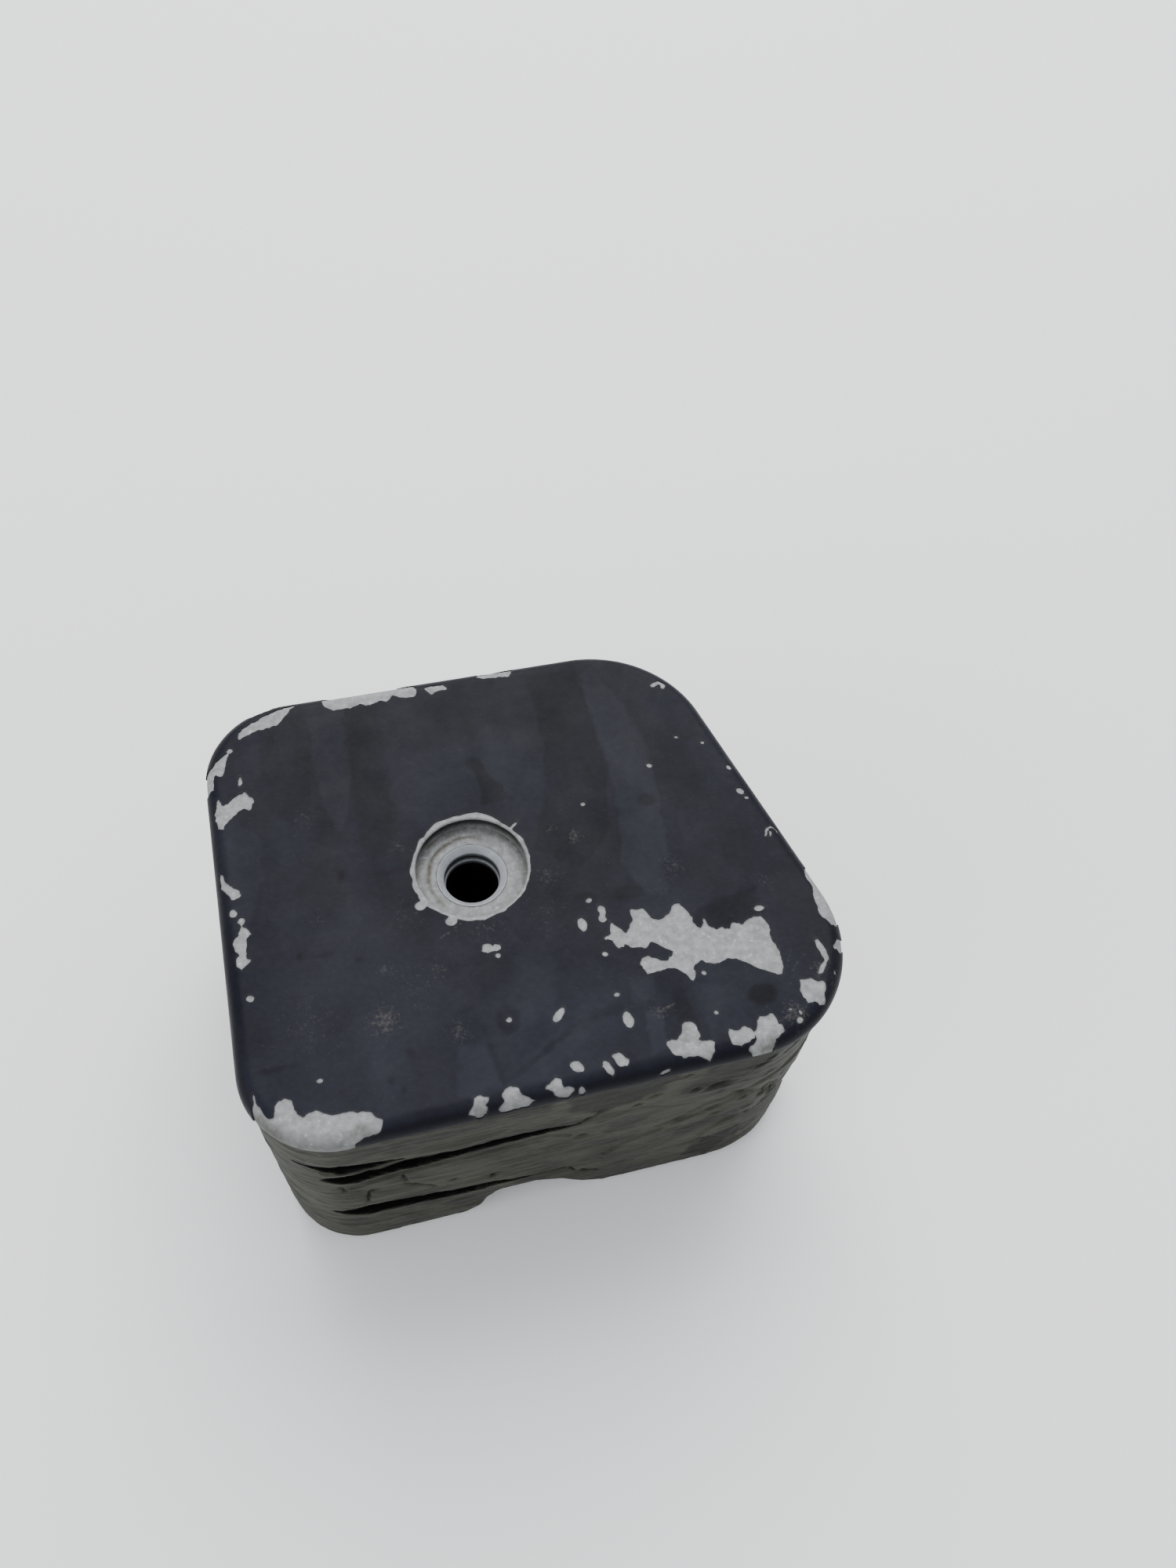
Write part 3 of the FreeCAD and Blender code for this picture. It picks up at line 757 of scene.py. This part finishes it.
# Stains and thicker coats: outline, how much lighter (or darker), softness.
STAINS = [
    ([(27, 36), (27, 25), (27.5, 14), (26.5, 5), (24.5, -4), (27, -12), (31, -13), (32, -6),
      (33, -5), (34.8, 5), (35.5, 20), (33, 30), (30, 37)], 0.30, 0.35),
    ([(3.2, 20.6), (4.2, 21.4), (5.4, 20.6), (6.2, 17), (8.5, 14), (9.3, 11.6), (4, 11.6),
      (4.6, 15)], -0.45, 0.35),
    ([(18, 37), (17.6, 20), (14, 8), (11, 1), (18, -4), (24, 2), (27, 14), (27, 37)], -0.22, 0.4),
    ([(-23, 36), (-22.8, 18), (-21, 11.2), (-19.5, 11), (-18.5, 15), (-17, 20), (-16.3, 36)],
     0.26, 0.3),
    ([(-16, 37), (-17, 20), (-17.5, 9), (-16, 4), (-11, 8), (-10.5, 25), (-10, 37)], -0.25, 0.5),
    ([(-40, 20), (-36, 16), (-33, 12), (-33.5, 6), (-36, -2), (-39, -8), (-40, 5)], 0.2, 0.5),
    ([(-32, 37), (-31.5, 18), (-28, 14), (-24, 18), (-23.3, 37)], -0.2, 0.5),
    ([(-3, 24), (6, 27), (16, 25), (17, 14), (12, 4), (9.5, 9.6), (5, 11), (-1, 10.5)], 0.18, 2),
    ([(20, -25), (24, -25.5), (24.5, -29.5), (20.5, -29.5)], 0.42, 0.5),
    ([(21.3, -31.8), (24.3, -30.5), (23.6, -38.4), (20.4, -38.4)], 0.4, 0.3),
    ([(30, -28.5), (37, -30), (38, -37.5), (30.5, -38)], 0.24, 0.5),
    ([(-4.2, -31), (-3.2, -34), (-2.8, -38.5), (-10, -38.5), (-8, -31)], 0.35, 0.6),
    ([(-3, -38.5), (1.5, -34.5), (8, -31), (12, -33), (8, -36), (3, -38.5)], 0.22, 0.6),
    ([(34, 30), (40, 18), (47, 0), (50, -12), (44, -12), (38, 0), (34.5, 14)], -0.14, 1.5),
    ([(33, -17), (34, -19.4), (36.5, -20), (45, -19), (45.5, -14), (38, -15)], -0.35, 0.6),
    ([(-20, -3), (-33, 0), (-37, -12), (-34, -30), (-20, -34), (-8, -22), (-14, -8)], 0.16, 3),
    ([(-2, -24), (4, -19), (9, -21), (8, -28), (1, -30)], 0.2, 1),
    ([(-33, 10), (-29, 22), (-26, 22), (-24, 12), (-27, 4)], 0.22, 1.5),
]
# Dark spots: strength, x, y, half width, half height, turn.
DARK_SPOTS = [
    (0.75, 40.7, -32.7, 2.3, 1.9), (0.5, 0.1, -27.9, 1.9, 2.2), (0.6, -29.7, -10.4, 0.5, 0.4),
    (0.5, -26.3, -11, 1, 0.3), (0.5, -20.5, -13, 0.5, 0.4), (0.6, -19, -33.5, 0.6, 0.7),
    (0.6, -17.3, -35.5, 0.35, 0.35), (0.45, 32.3, 6.4, 1.6, 1.4), (0.35, 24.5, -10.5, 2.6, 1.4),
    (0.5, -21.2, 2.8, 0.7, 1.1), (0.5, -36, -28.1, 1.6, 0.3), (0.4, -15.5, -30, 0.6, 0.8),
    (0.5, 5.5, -33.8, 5, 0.5, 28), (0.55, -3.2, -33.5, 0.25, 3.2, 8), (0.3, 17.3, -9.8, 1.6, 0.8),
    (0.4, 15.6, -30.2, 3, 0.8, 10), (0.35, 27.5, -33, 1.6, 4),
]
# Pale dirt trodden into the coat: x, y, reach, strength.
PALE_DIRT = [
    (-18.5, -24, 2.6, 1), (-17, -15.5, 1.3, 0.8), (-9, -17.3, 1.6, 0.6), (18, 2, 1.6, 0.8),
    (-25.5, 15.5, 2.2, 0.45), (12, -4.5, 2.6, 0.5), (-11, 6, 1.8, 0.45), (14.5, 4.3, 1, 0.5),
    (0, -11.3, 3.2, 0.5), (44.5, -37, 2.4, 0.9), (51, -30.5, 1.6, 0.8), (53.5, -33, 1.6, 0.7),
    (-7.6, -28.4, 1.8, 0.7), (-12, -20, 5, 0.3), (-26.5, -4.5, 1.6, 0.35), (33, -7, 2.4, 0.6),
    (43.8, -22, 1.5, 0.7), (-29.5, -22, 5, 0.3), (23.5, -32.2, 1.8, 0.6), (10, -12, 4, 0.3),
    (-12, -7, 3, 0.35), (30, -11, 2, 0.4), (47, -13, 2, 0.35),
]
# Fine pale scratches in the coat: points and strength.
SCRATCHES = [
    ([(22.4, -32.2), (24, -31.7), (26.3, -31.2)], 1), ([(-7.4, -11.9), (-3.6, -10.1)], 0.8),
    ([(46.5, -30), (49.5, -27.5)], 0.7), ([(46.2, -28.5), (47.6, -26.4)], 0.6),
]
FILM_GRID = 0.36
# A chip's edge stays this share of a cell away from the cell's corners.
SHORTEST = 0.04
CHIP_GROWTH = 0.14
STAIN_CONTRAST = 1.05
# Stains softer than this have no darker line round them.
CRISP = 0.45
EDGE_RUN = FILM_RADIUS * math.pi / 2


def hole_distance(x, y):
    """Distance past the ragged edge of the film round the recess."""
    angle = np.arctan2(y, x)
    top = smooth(0.72, 0.95, np.sin(angle))
    left = smooth(0.6, 0.95, -np.cos(angle))
    ragged = 0.34 * layered(angle * 5 + 40, 0, 101, 4)
    rim = FILM_HOLE_R + 0.1 + 0.42 * top + 0.2 * left + ragged
    distance = np.hypot(x, y) - rim
    for lobe in RING_LOBES:
        distance = np.minimum(distance, oval_distance(x, y, *lobe))
    return distance


def film_cover(x, y, past):
    """Positive where the film is, by its distance in from the nearest edge."""
    ragged = 0.30 * layered(x / 1.2, y / 1.2, 105) + 0.17 * noise(x / 0.45, y / 0.45, 109)
    cover = np.full(x.shape, 9)
    for points in CHIPS:
        cover = np.minimum(cover, polygon_distance(points, x, y) + ragged)
    for spot in SPOTS:
        cover = np.minimum(cover, oval_distance(x, y, *spot) + 0.5 * ragged)
    for points, width in SCRAPES:
        cover = np.minimum(cover, line_distance(points, x, y) - width + 0.4 * ragged)
    for island in PAINT_ISLANDS:
        cover = np.maximum(cover, -oval_distance(x, y, *island))
    cover = np.minimum(cover - CHIP_GROWTH, hole_distance(x, y))
    return np.minimum(cover, EDGE_RUN - past)


def film_tone(x, y):
    """Lighter (above 0) and darker stains in the coat, and broad shifts from front to back."""
    wavy = 0.7 * layered(x / 1.7, y / 1.7, 111)
    tone = 0.16 * layered(x / 5, y / 14, 114)
    tone += 0.07 * layered(x / 1.2, y / 1.2, 117)
    for points, lift, soft in STAINS:
        away = polygon_distance(points, x, y) + wavy
        tone += lift * (1 - smooth(-soft, soft, away))
        if soft < CRISP:
            tone -= 0.16 * band(away, 0, 0.3)
    # Lighter towards the front and darker towards the back, and lighter still near the front
    # edge, less so on the right.
    tone += 0.1 * smooth(-4, -20, y) - 0.14 * smooth(20, 36, y)
    tone += 0.3 * smooth(-18, -36, y) * (1 - 0.6 * smooth(12, 28, x))
    for deep, *spot in DARK_SPOTS:
        away = oval_distance(x, y, *spot) + 0.5 * wavy
        tone -= deep * (1 - smooth(-0.5, 0.5, away))
    return tone * STAIN_CONTRAST


def film_dirt(x, y):
    """Pale dirt and fine scratches in the coat."""
    dirt = np.zeros(x.shape)
    for px, py, reach, strength in PALE_DIRT:
        dirt = np.maximum(dirt, strength * band(np.hypot(x - px, y - py), 0, reach))
    for points, strength in SCRATCHES:
        dirt = np.maximum(dirt, strength * band(line_distance(points, x, y), 0, 0.25))
    return dirt


def film_place(x, y, radius):
    """Points of the film at a radius about the rolled edge's centre line."""
    past, normal = outline.beyond(x, y, FACE_RADIUS)
    turn = np.clip(past, 0, EDGE_RUN) / FILM_RADIUS
    out = radius * np.sin(turn) - np.maximum(past, 0)
    x, y = np.array([x, y]) + normal.T * out
    return np.column_stack([x, y, FILM_EDGE + radius * np.cos(turn)])


class FilmCells:
    """Polygons over the cells of a grid where a field is positive, cut at its zero
    line.  Points are (column, row) places on the grid."""

    def __init__(self, cover):
        self.cover = cover
        self.inside = cover > 0
        self.points, self.index, self.faces = [], {}, []
        whole = self.inside.astype(int)
        count = whole[:-1, :-1] + whole[1:, :-1] + whole[1:, 1:] + whole[:-1, 1:]
        for i, j in zip(*np.nonzero(count)):
            self.cell([(i, j), (i + 1, j), (i + 1, j + 1), (i, j + 1)])

    def point(self, key, place):
        """The number of a point, which is made when it is first asked for."""
        if key not in self.index:
            self.index[key] = len(self.points)
            self.points.append(place)
        return self.index[key]

    def crossing(self, a, b):
        """The point where the field is zero between two corners of the grid."""
        a, b = min(a, b), max(a, b)
        t = self.cover[a] / (self.cover[a] - self.cover[b])
        t = min(max(t, SHORTEST), 1 - SHORTEST)
        return self.point((a, b), (a[0] + (b[0] - a[0]) * t, a[1] + (b[1] - a[1]) * t))

    def cell(self, ring):
        """The polygon in one cell, or two where only opposite corners are inside."""
        face = []
        for a, b in zip(ring, ring[1:] + ring[:1]):
            if self.inside[a]:
                face.append(self.point(a, a))
            if self.inside[a] != self.inside[b]:
                face.append(self.crossing(a, b))
        if len(face) < 6:
            self.faces.append(face)
        elif self.inside[ring[0]]:
            self.faces += [face[:2] + face[5:], face[2:5]]
        else:
            self.faces += [face[:3], face[3:]]


def shell_faces(faces, count):
    """The upper faces, the same faces turned over below them, and the walls."""
    lower = [[v + count for v in reversed(face)] for face in faces]
    edges = {(a, b) for face in faces for a, b in zip(face, face[1:] + face[:1])}
    walls = [[b, a, a + count, b + count] for a, b in edges if (b, a) not in edges]
    return faces + lower + sorted(walls)


def build_film(material):
    """The paint film: a thin shell over the face and its edge, with its chips."""
    margin = EDGE_RUN - FACE_RADIUS + 1
    x = np.arange(film_low.x - margin, film_high.x + margin, FILM_GRID)
    y = np.arange(film_low.y - margin, film_high.y + margin, FILM_GRID)
    gx, gy = np.meshgrid(x, y, indexing="ij")
    past, _ = outline.beyond(gx, gy, FACE_RADIUS)
    cells = FilmCells(film_cover(gx, gy, past))
    px, py = np.array(cells.points).T * FILM_GRID + [[x[0]], [y[0]]]
    past, _ = outline.beyond(px, py, FACE_RADIUS)
    sag = 0.02 + 0.02 * layered(px / 9, py / 13, 131)
    edge = np.minimum(film_cover(px, py, past), 3)
    upper = film_place(px, py, FILM_RADIUS - sag * smooth(0, 2, edge))
    lower = film_place(px, py, FACE_RADIUS - 0.08)
    lower[:, 2] = np.maximum(lower[:, 2], FILM_EDGE)
    marks = {"tone": film_tone(px, py), "dust": film_dirt(px, py), "edge": edge}
    # Painted shade that grows down the rolled edge.
    marks["roll"] = smooth(0.9, 2.6, past)
    named = {key: np.concatenate([value, value]) for key, value in marks.items()}
    faces = shell_faces(cells.faces, len(px))
    mesh = make_mesh("paint_film", np.vstack([upper, lower]), faces, named)
    mesh.validate()
    add_piece("paint_film", mesh, material, "face_coat")


# ---- sleeve

BORE_R, DRILLED_R, MOUTH_R = 4.47, 4.72, 5.85
RING_STEP = 0.8
AROUND = 144


def sleeve_rings():
    """(radius, height) of each ring, once round the sleeve's section."""
    ledge_low, ledge_high = SEAT - 2.9, SEAT - 0.95
    outside = SLEEVE_R - 0.04
    profile = [
        (BORE_R, 0.3), (BORE_R + 0.3, 0), (SLEEVE_R - 0.3, 0), (outside, 0.3),
        (outside, SEAT - 0.12), (SLEEVE_R - 0.1, SEAT), (MOUTH_R, SEAT),
        (MOUTH_R - 0.12, SEAT - 0.08), (DRILLED_R + 0.12, ledge_high + 0.08),
        (DRILLED_R, ledge_high - 0.1), (DRILLED_R, ledge_low + 0.1),
        (BORE_R + 0.05, ledge_low), (BORE_R, ledge_low - 0.15),
    ]
    rings = []
    for (r0, z0), (r1, z1) in zip(profile, profile[1:] + profile[:1]):
        steps = max(1, int(math.hypot(r1 - r0, z1 - z0) / RING_STEP))
        for k in range(steps):
            rings.append((r0 + (r1 - r0) * k / steps, z0 + (z1 - z0) * k / steps))
    return rings


def build_sleeve(material):
    """The steel sleeve, turned: a tube with a drilled step and a coned mouth."""
    rings = sleeve_rings()
    angle = np.arange(AROUND) * 2 * math.pi / AROUND
    points = np.concatenate([
        np.column_stack([r * np.cos(angle), r * np.sin(angle), np.full(AROUND, z)])
        for r, z in rings
    ])
    # Painted shade down the bore below the mouth, lifted on the narrow ledge.
    down = SEAT - points[:, 2]
    shaded = (np.hypot(points[:, 0], points[:, 1]) < DRILLED_R + 0.1) * smooth(0.9, 1.2, down)
    shaded *= 1 - 0.75 * smooth(2.65, 2.8, down) * (1 - smooth(2.95, 3.15, down))
    mesh = make_mesh("sleeve", points, ring_faces(len(rings), AROUND), {"painted_shade": shaded})
    add_piece("turned_sleeve", mesh, material, "bolt_sleeve")


# ---- materials


class Nodes:
    """Short calls for building one material's node tree."""

    def __init__(self, name):
        self.material = bpy.data.materials.new(name)
        self.material.use_nodes = True
        self.tree = self.material.node_tree
        self.shader = self.tree.nodes["Principled BSDF"]
        self.place = self.tree.nodes.new("ShaderNodeTexCoord").outputs["Object"]

    def link(self, source, socket):
        """Sets a socket to a number or a colour, or links another node to it."""
        if isinstance(source, (int, float)):
            socket.default_value = source
        elif isinstance(source, tuple):
            socket.default_value = (*source, 1)
        else:
            self.tree.links.new(source, socket)

    def new(self, kind, **inputs):
        """A new node with its inputs set or linked."""
        node = self.tree.nodes.new("ShaderNode" + kind)
        for name, source in inputs.items():
            self.link(source, node.inputs[name.replace("_", " ")])
        return node

    def mark(self, name):
        """A number that the mesh carries at its points."""
        node = self.new("Attribute")
        node.attribute_name = name
        return node.outputs["Fac"]

    def stretched(self, x, y, z):
        """The place on the object, scaled along each axis."""
        node = self.new("Mapping", Vector=self.place)
        node.inputs["Scale"].default_value = (x, y, z)
        return node.outputs["Vector"]

    def noise(self, scale, detail=4, rough=0.55, vector=None):
        where = vector or self.place
        node = self.new("TexNoise", Scale=scale, Detail=detail, Roughness=rough, Vector=where)
        return node.outputs["Fac"]

    def range(self, value, low, high, least=0, most=1):
        """A value taken from one range to another, and held at its ends."""
        ends = {"From_Min": low, "From_Max": high, "To_Min": least, "To_Max": most}
        return self.new("MapRange", Value=value, **ends).outputs["Result"]

    def math(self, kind, first, second):
        """Two values added or multiplied."""
        node = self.new("Math")
        node.operation = kind
        self.link(first, node.inputs[0])
        self.link(second, node.inputs[1])
        return node.outputs["Value"]

    def mix(self, share, under, over):
        """A colour over another, by a share from 0 to 1."""
        node = self.new("Mix")
        node.data_type = "RGBA"
        for name, source in (("Factor", share), ("A", under), ("B", over)):
            self.link(source, node.inputs[name])
        return node.outputs["Result"]

    def layer(self, under, over, value, low, high, least=0, most=1):
        """A colour over another where a value is in a range."""
        return self.mix(self.range(value, low, high, least, most), under, over)

    def bump(self, height, distance, after=None):
        """A normal from a height, with the distance in millimetres."""
        node = self.new("Bump", Height=height, Distance=distance * MM)
        if after:
            self.link(after, node.inputs["Normal"])
        return node.outputs["Normal"]

    def finish(self, color, roughness, normal, **constants):
        """The material, with its shader's inputs."""
        inputs = {"Base_Color": color, "Roughness": roughness, "Normal": normal, **constants}
        for name, source in inputs.items():
            self.link(source, self.shader.inputs[name.replace("_", " ")])
        return self.material


PAINT_DARK = (0.0018, 0.0018, 0.0040)
PAINT = (0.0065, 0.0067, 0.0123)
PAINT_WARM = (0.0082, 0.0073, 0.0108)
PAINT_LIGHT = (0.0155, 0.0165, 0.0248)
PAINT_DUST_AND_EDGE_LIGHT = (0.085, 0.082, 0.075)
SKIN_DARK = (0.0085, 0.0082, 0.0066)
SKIN = (0.0265, 0.0268, 0.0208)
SKIN_LIGHT = (0.062, 0.063, 0.0485)
SKIN_FLECK = (0.12, 0.118, 0.10)
BARE = (0.275, 0.281, 0.283)
BARE_DULL = (0.195, 0.199, 0.199)
BARE_BRIGHT = (0.50, 0.51, 0.51)
DIRT = (0.088, 0.079, 0.062)
STEEL = (0.30, 0.31, 0.33)
STEEL_DARK = (0.10, 0.10, 0.105)
STEEL_CLOUD = (0.24, 0.25, 0.265)
BARE_FLECK = (0.14, 0.14, 0.135)
OPENING_SHADE = (0.0015, 0.0015, 0.0015)
BORE_SHADE = (0.004, 0.004, 0.004)
FLOOR_LOW, FLOOR_HIGH = (0.93, 0.93, 0.93), (0.95, 0.95, 0.95)


def paint_material():
    """Satin black paint with clouds, stains, painted shade on the rolled edge, chip rims
    lightened partly by dust and partly by a painted highlight, and dirt.
    """
    n = Nodes("satin_paint")
    grain = n.range(n.noise(900, 5), 0.3, 0.7, -0.12, 0.12)
    cloud = n.noise(70, 5, 0.6, n.stretched(1, 0.6, 1))
    cloudy = n.range(cloud, 0.3, 0.7, -0.24, 0.24)
    tone = n.math("ADD", n.mark("tone"), n.math("ADD", grain, cloudy))
    color = n.layer(PAINT, PAINT_WARM, n.noise(32, 4, 0.6), 0.44, 0.64, 0, 0.75)
    color = n.layer(PAINT_DARK, color, tone, -0.55, 0)
    color = n.layer(color, PAINT_LIGHT, tone, 0, 0.8)
    # Painted shade down the film's rolled edge.
    color = n.layer(color, PAINT_DARK, n.mark("roll"), 0, 1, 0, 0.7)
    # A lighter rim along the chips' edges, partly dust and partly a painted highlight of the
    # film's lit edge.
    color = n.layer(color, PAINT_DUST_AND_EDGE_LIGHT, n.mark("edge"), 0, 0.25, 0.12, 0)
    dirty = n.math("MULTIPLY", n.mark("dust"), 0.22)
    dust = n.range(n.math("ADD", n.noise(1900, 5, 0.8), dirty), 0.62, 0.80)
    color = n.mix(n.math("MULTIPLY", dust, 0.62), color, PAINT_DUST_AND_EDGE_LIGHT)
    satin = n.range(n.noise(160, 4), 0.3, 0.7, 0.40, 0.52)
    rough = n.math("ADD", satin, n.math("MULTIPLY", dust, 0.3))
    fine = n.bump(n.noise(1100, 4), 0.03)
    broad = n.bump(n.noise(130, 3), 0.10, fine)
    return n.finish(color, rough, broad, Specular_IOR_Level=0.09)


def bare_color(n, fleck):
    """Bright bare metal, mottled and flecked, with brown dirt."""
    bare = n.layer(BARE, BARE_DULL, n.noise(650, 6, 0.65), 0.40, 0.64)
    bare = n.layer(bare, BARE_FLECK, fleck, 0.62, 0.74, 0, 0.5)
    bare = n.layer(bare, BARE_BRIGHT, fleck, 0.40, 0.32, 0, 0.45)
    dirt = n.math("MULTIPLY", n.mark("dirt"), n.range(fleck, 0.3, 0.6, 0.6, 1))
    return n.mix(dirt, bare, DIRT)


def skin_color(n, fleck, streak):
    """The dark cast skin: streaks, blotches, scuffs, flecks and its patches."""
    blotch = n.noise(85, 5, 0.6, n.stretched(0.7, 0.7, 1.2))
    scuff = n.noise(700, 5, 0.7, n.stretched(0.22, 0.22, 1))
    skin = n.layer(SKIN, SKIN_LIGHT, streak, 0.36, 0.66)
    skin = n.layer(skin, SKIN_DARK, blotch, 0.47, 0.60, 0, 0.45)
    skin = n.layer(skin, SKIN_LIGHT, scuff, 0.56, 0.66, 0, 0.5)
    skin = n.layer(skin, SKIN_DARK, scuff, 0.34, 0.42, 0.4, 0)
    skin = n.layer(skin, SKIN_FLECK, fleck, 0.66, 0.78, 0, 0.5)
    skin = n.layer(skin, SKIN_DARK, n.mark("tone"), -0.6, 0, 0.75, 0)
    return n.layer(skin, SKIN_LIGHT, n.mark("tone"), 0, 0.6, 0, 0.7)


def casting_material():
    """Cast skin on the sides and bare metal on the face, with black painted shade in the
    openings.
    """
    n = Nodes("cast_lead")
    streak = n.noise(260, 6, 0.65, n.stretched(0.28, 0.28, 1))
    fleck = n.noise(1300, 4, 0.7)
    color = n.mix(n.mark("skin"), bare_color(n, fleck), skin_color(n, fleck, streak))
    # Painted shade, black, in the laps, cracks, pits, the recess's far wall and the sleeve's
    # join.
    color = n.mix(n.mark("painted_shade"), color, OPENING_SHADE)
    deep = n.math("MULTIPLY", n.mark("painted_shade"), 0.4)
    rough = n.math("ADD", n.range(streak, 0.3, 0.7, 0.5, 0.72), deep)
    ripples = n.noise(420, 5, 0.6, n.stretched(0.3, 0.3, 1))
    ripple = n.bump(ripples, 0.09, n.bump(fleck, 0.07))
    return n.finish(color, rough, ripple, Specular_IOR_Level=0.1)


def steel_material():
    """Dull worn steel, clouded and specked, with painted shade inside the bore."""
    n = Nodes("worn_steel")
    cloud = n.noise(500, 5)
    speck = n.range(n.noise(1700, 2), 0.64, 0.72)
    color = n.layer(STEEL, STEEL_CLOUD, cloud, 0.35, 0.7)
    color = n.mix(n.math("MULTIPLY", speck, 0.8), color, STEEL_DARK)
    # Painted shade inside the bore.
    color = n.mix(n.mark("painted_shade"), color, BORE_SHADE)
    rough = n.range(cloud, 0.3, 0.7, 0.32, 0.5)
    bump = n.bump(n.noise(900, 3), 0.02)
    return n.finish(color, rough, bump, Metallic=0.1, Specular_IOR_Level=0.3)


def floor_material():
    """A pale matt floor."""
    n = Nodes("pale_floor")
    color = n.layer(FLOOR_LOW, FLOOR_HIGH, n.noise(3, 2), 0.3, 0.7)
    return n.finish(color, 0.8, n.bump(n.noise(40, 2), 0.02))


# ---- stage

CAMERA_PLACE = Vector((-16.46, -99.25, 238.03))
CAMERA_AIM = Vector((23.139, 11.925, 58.6))
CAMERA_ROLL = 6.4235
CAMERA_LENS = 28.047
SENSOR_WIDTH = 36
# Metres and watts: place, width and power of each soft light.
SOFTBOXES = {
    "back_softbox": ((0.25, 0.95, 1.25), 1.5, 36),
    "left_fill": ((-1.4, -0.5, 0.8), 1, 9),
}
SOFTBOX_AIM = Vector((0.01, 0, 0.03))
SKY_COLOR = (0.92, 0.95, 1, 1)
SKY_STRENGTH = 0.9
FLOOR_REACH = 4


def build_camera():
    """The camera at the photograph's viewing angle."""
    data = bpy.data.cameras.new("camera")
    data.sensor_width = SENSOR_WIDTH
    data.lens = CAMERA_LENS
    data.clip_start = 0.01
    data.clip_end = 20
    camera = place_object("camera", data)
    camera.location = CAMERA_PLACE * MM
    look = (CAMERA_AIM - CAMERA_PLACE).to_track_quat("-Z", "Y")
    camera.rotation_mode = "QUATERNION"
    camera.rotation_quaternion = look @ Quaternion((0, 0, 1), math.radians(CAMERA_ROLL))
    bpy.context.scene.camera = camera


def add_softbox(name, place, size, power):
    """A square soft light, turned to the block."""
    data = bpy.data.lights.new(name, "AREA")
    data.size = size
    data.energy = power
    lamp = place_object(name, data)
    lamp.location = place
    lamp.rotation_euler = (SOFTBOX_AIM - Vector(place)).to_track_quat("-Z", "Y").to_euler()


def build_stage():
    """The floor, the soft lights and the pale surroundings."""
    signs = ((-1, -1), (1, -1), (1, 1), (-1, 1))
    corners = [(FLOOR_REACH * x, FLOOR_REACH * y, 0) for x, y in signs]
    mesh = bpy.data.meshes.new("floor")
    mesh.from_pydata(corners, [], [(0, 1, 2, 3)])
    mesh.materials.append(floor_material())
    floor = place_object("floor", mesh)
    for name, values in SOFTBOXES.items():
        add_softbox(name, *values)
    world = bpy.data.worlds.new("studio")
    world.use_nodes = True
    background = world.node_tree.nodes["Background"]
    background.inputs["Color"].default_value = SKY_COLOR
    background.inputs["Strength"].default_value = SKY_STRENGTH
    bpy.context.scene.world = world


build_camera()
build_stage()
build_casting(casting_material())
build_film(paint_material())
build_sleeve(steel_material())
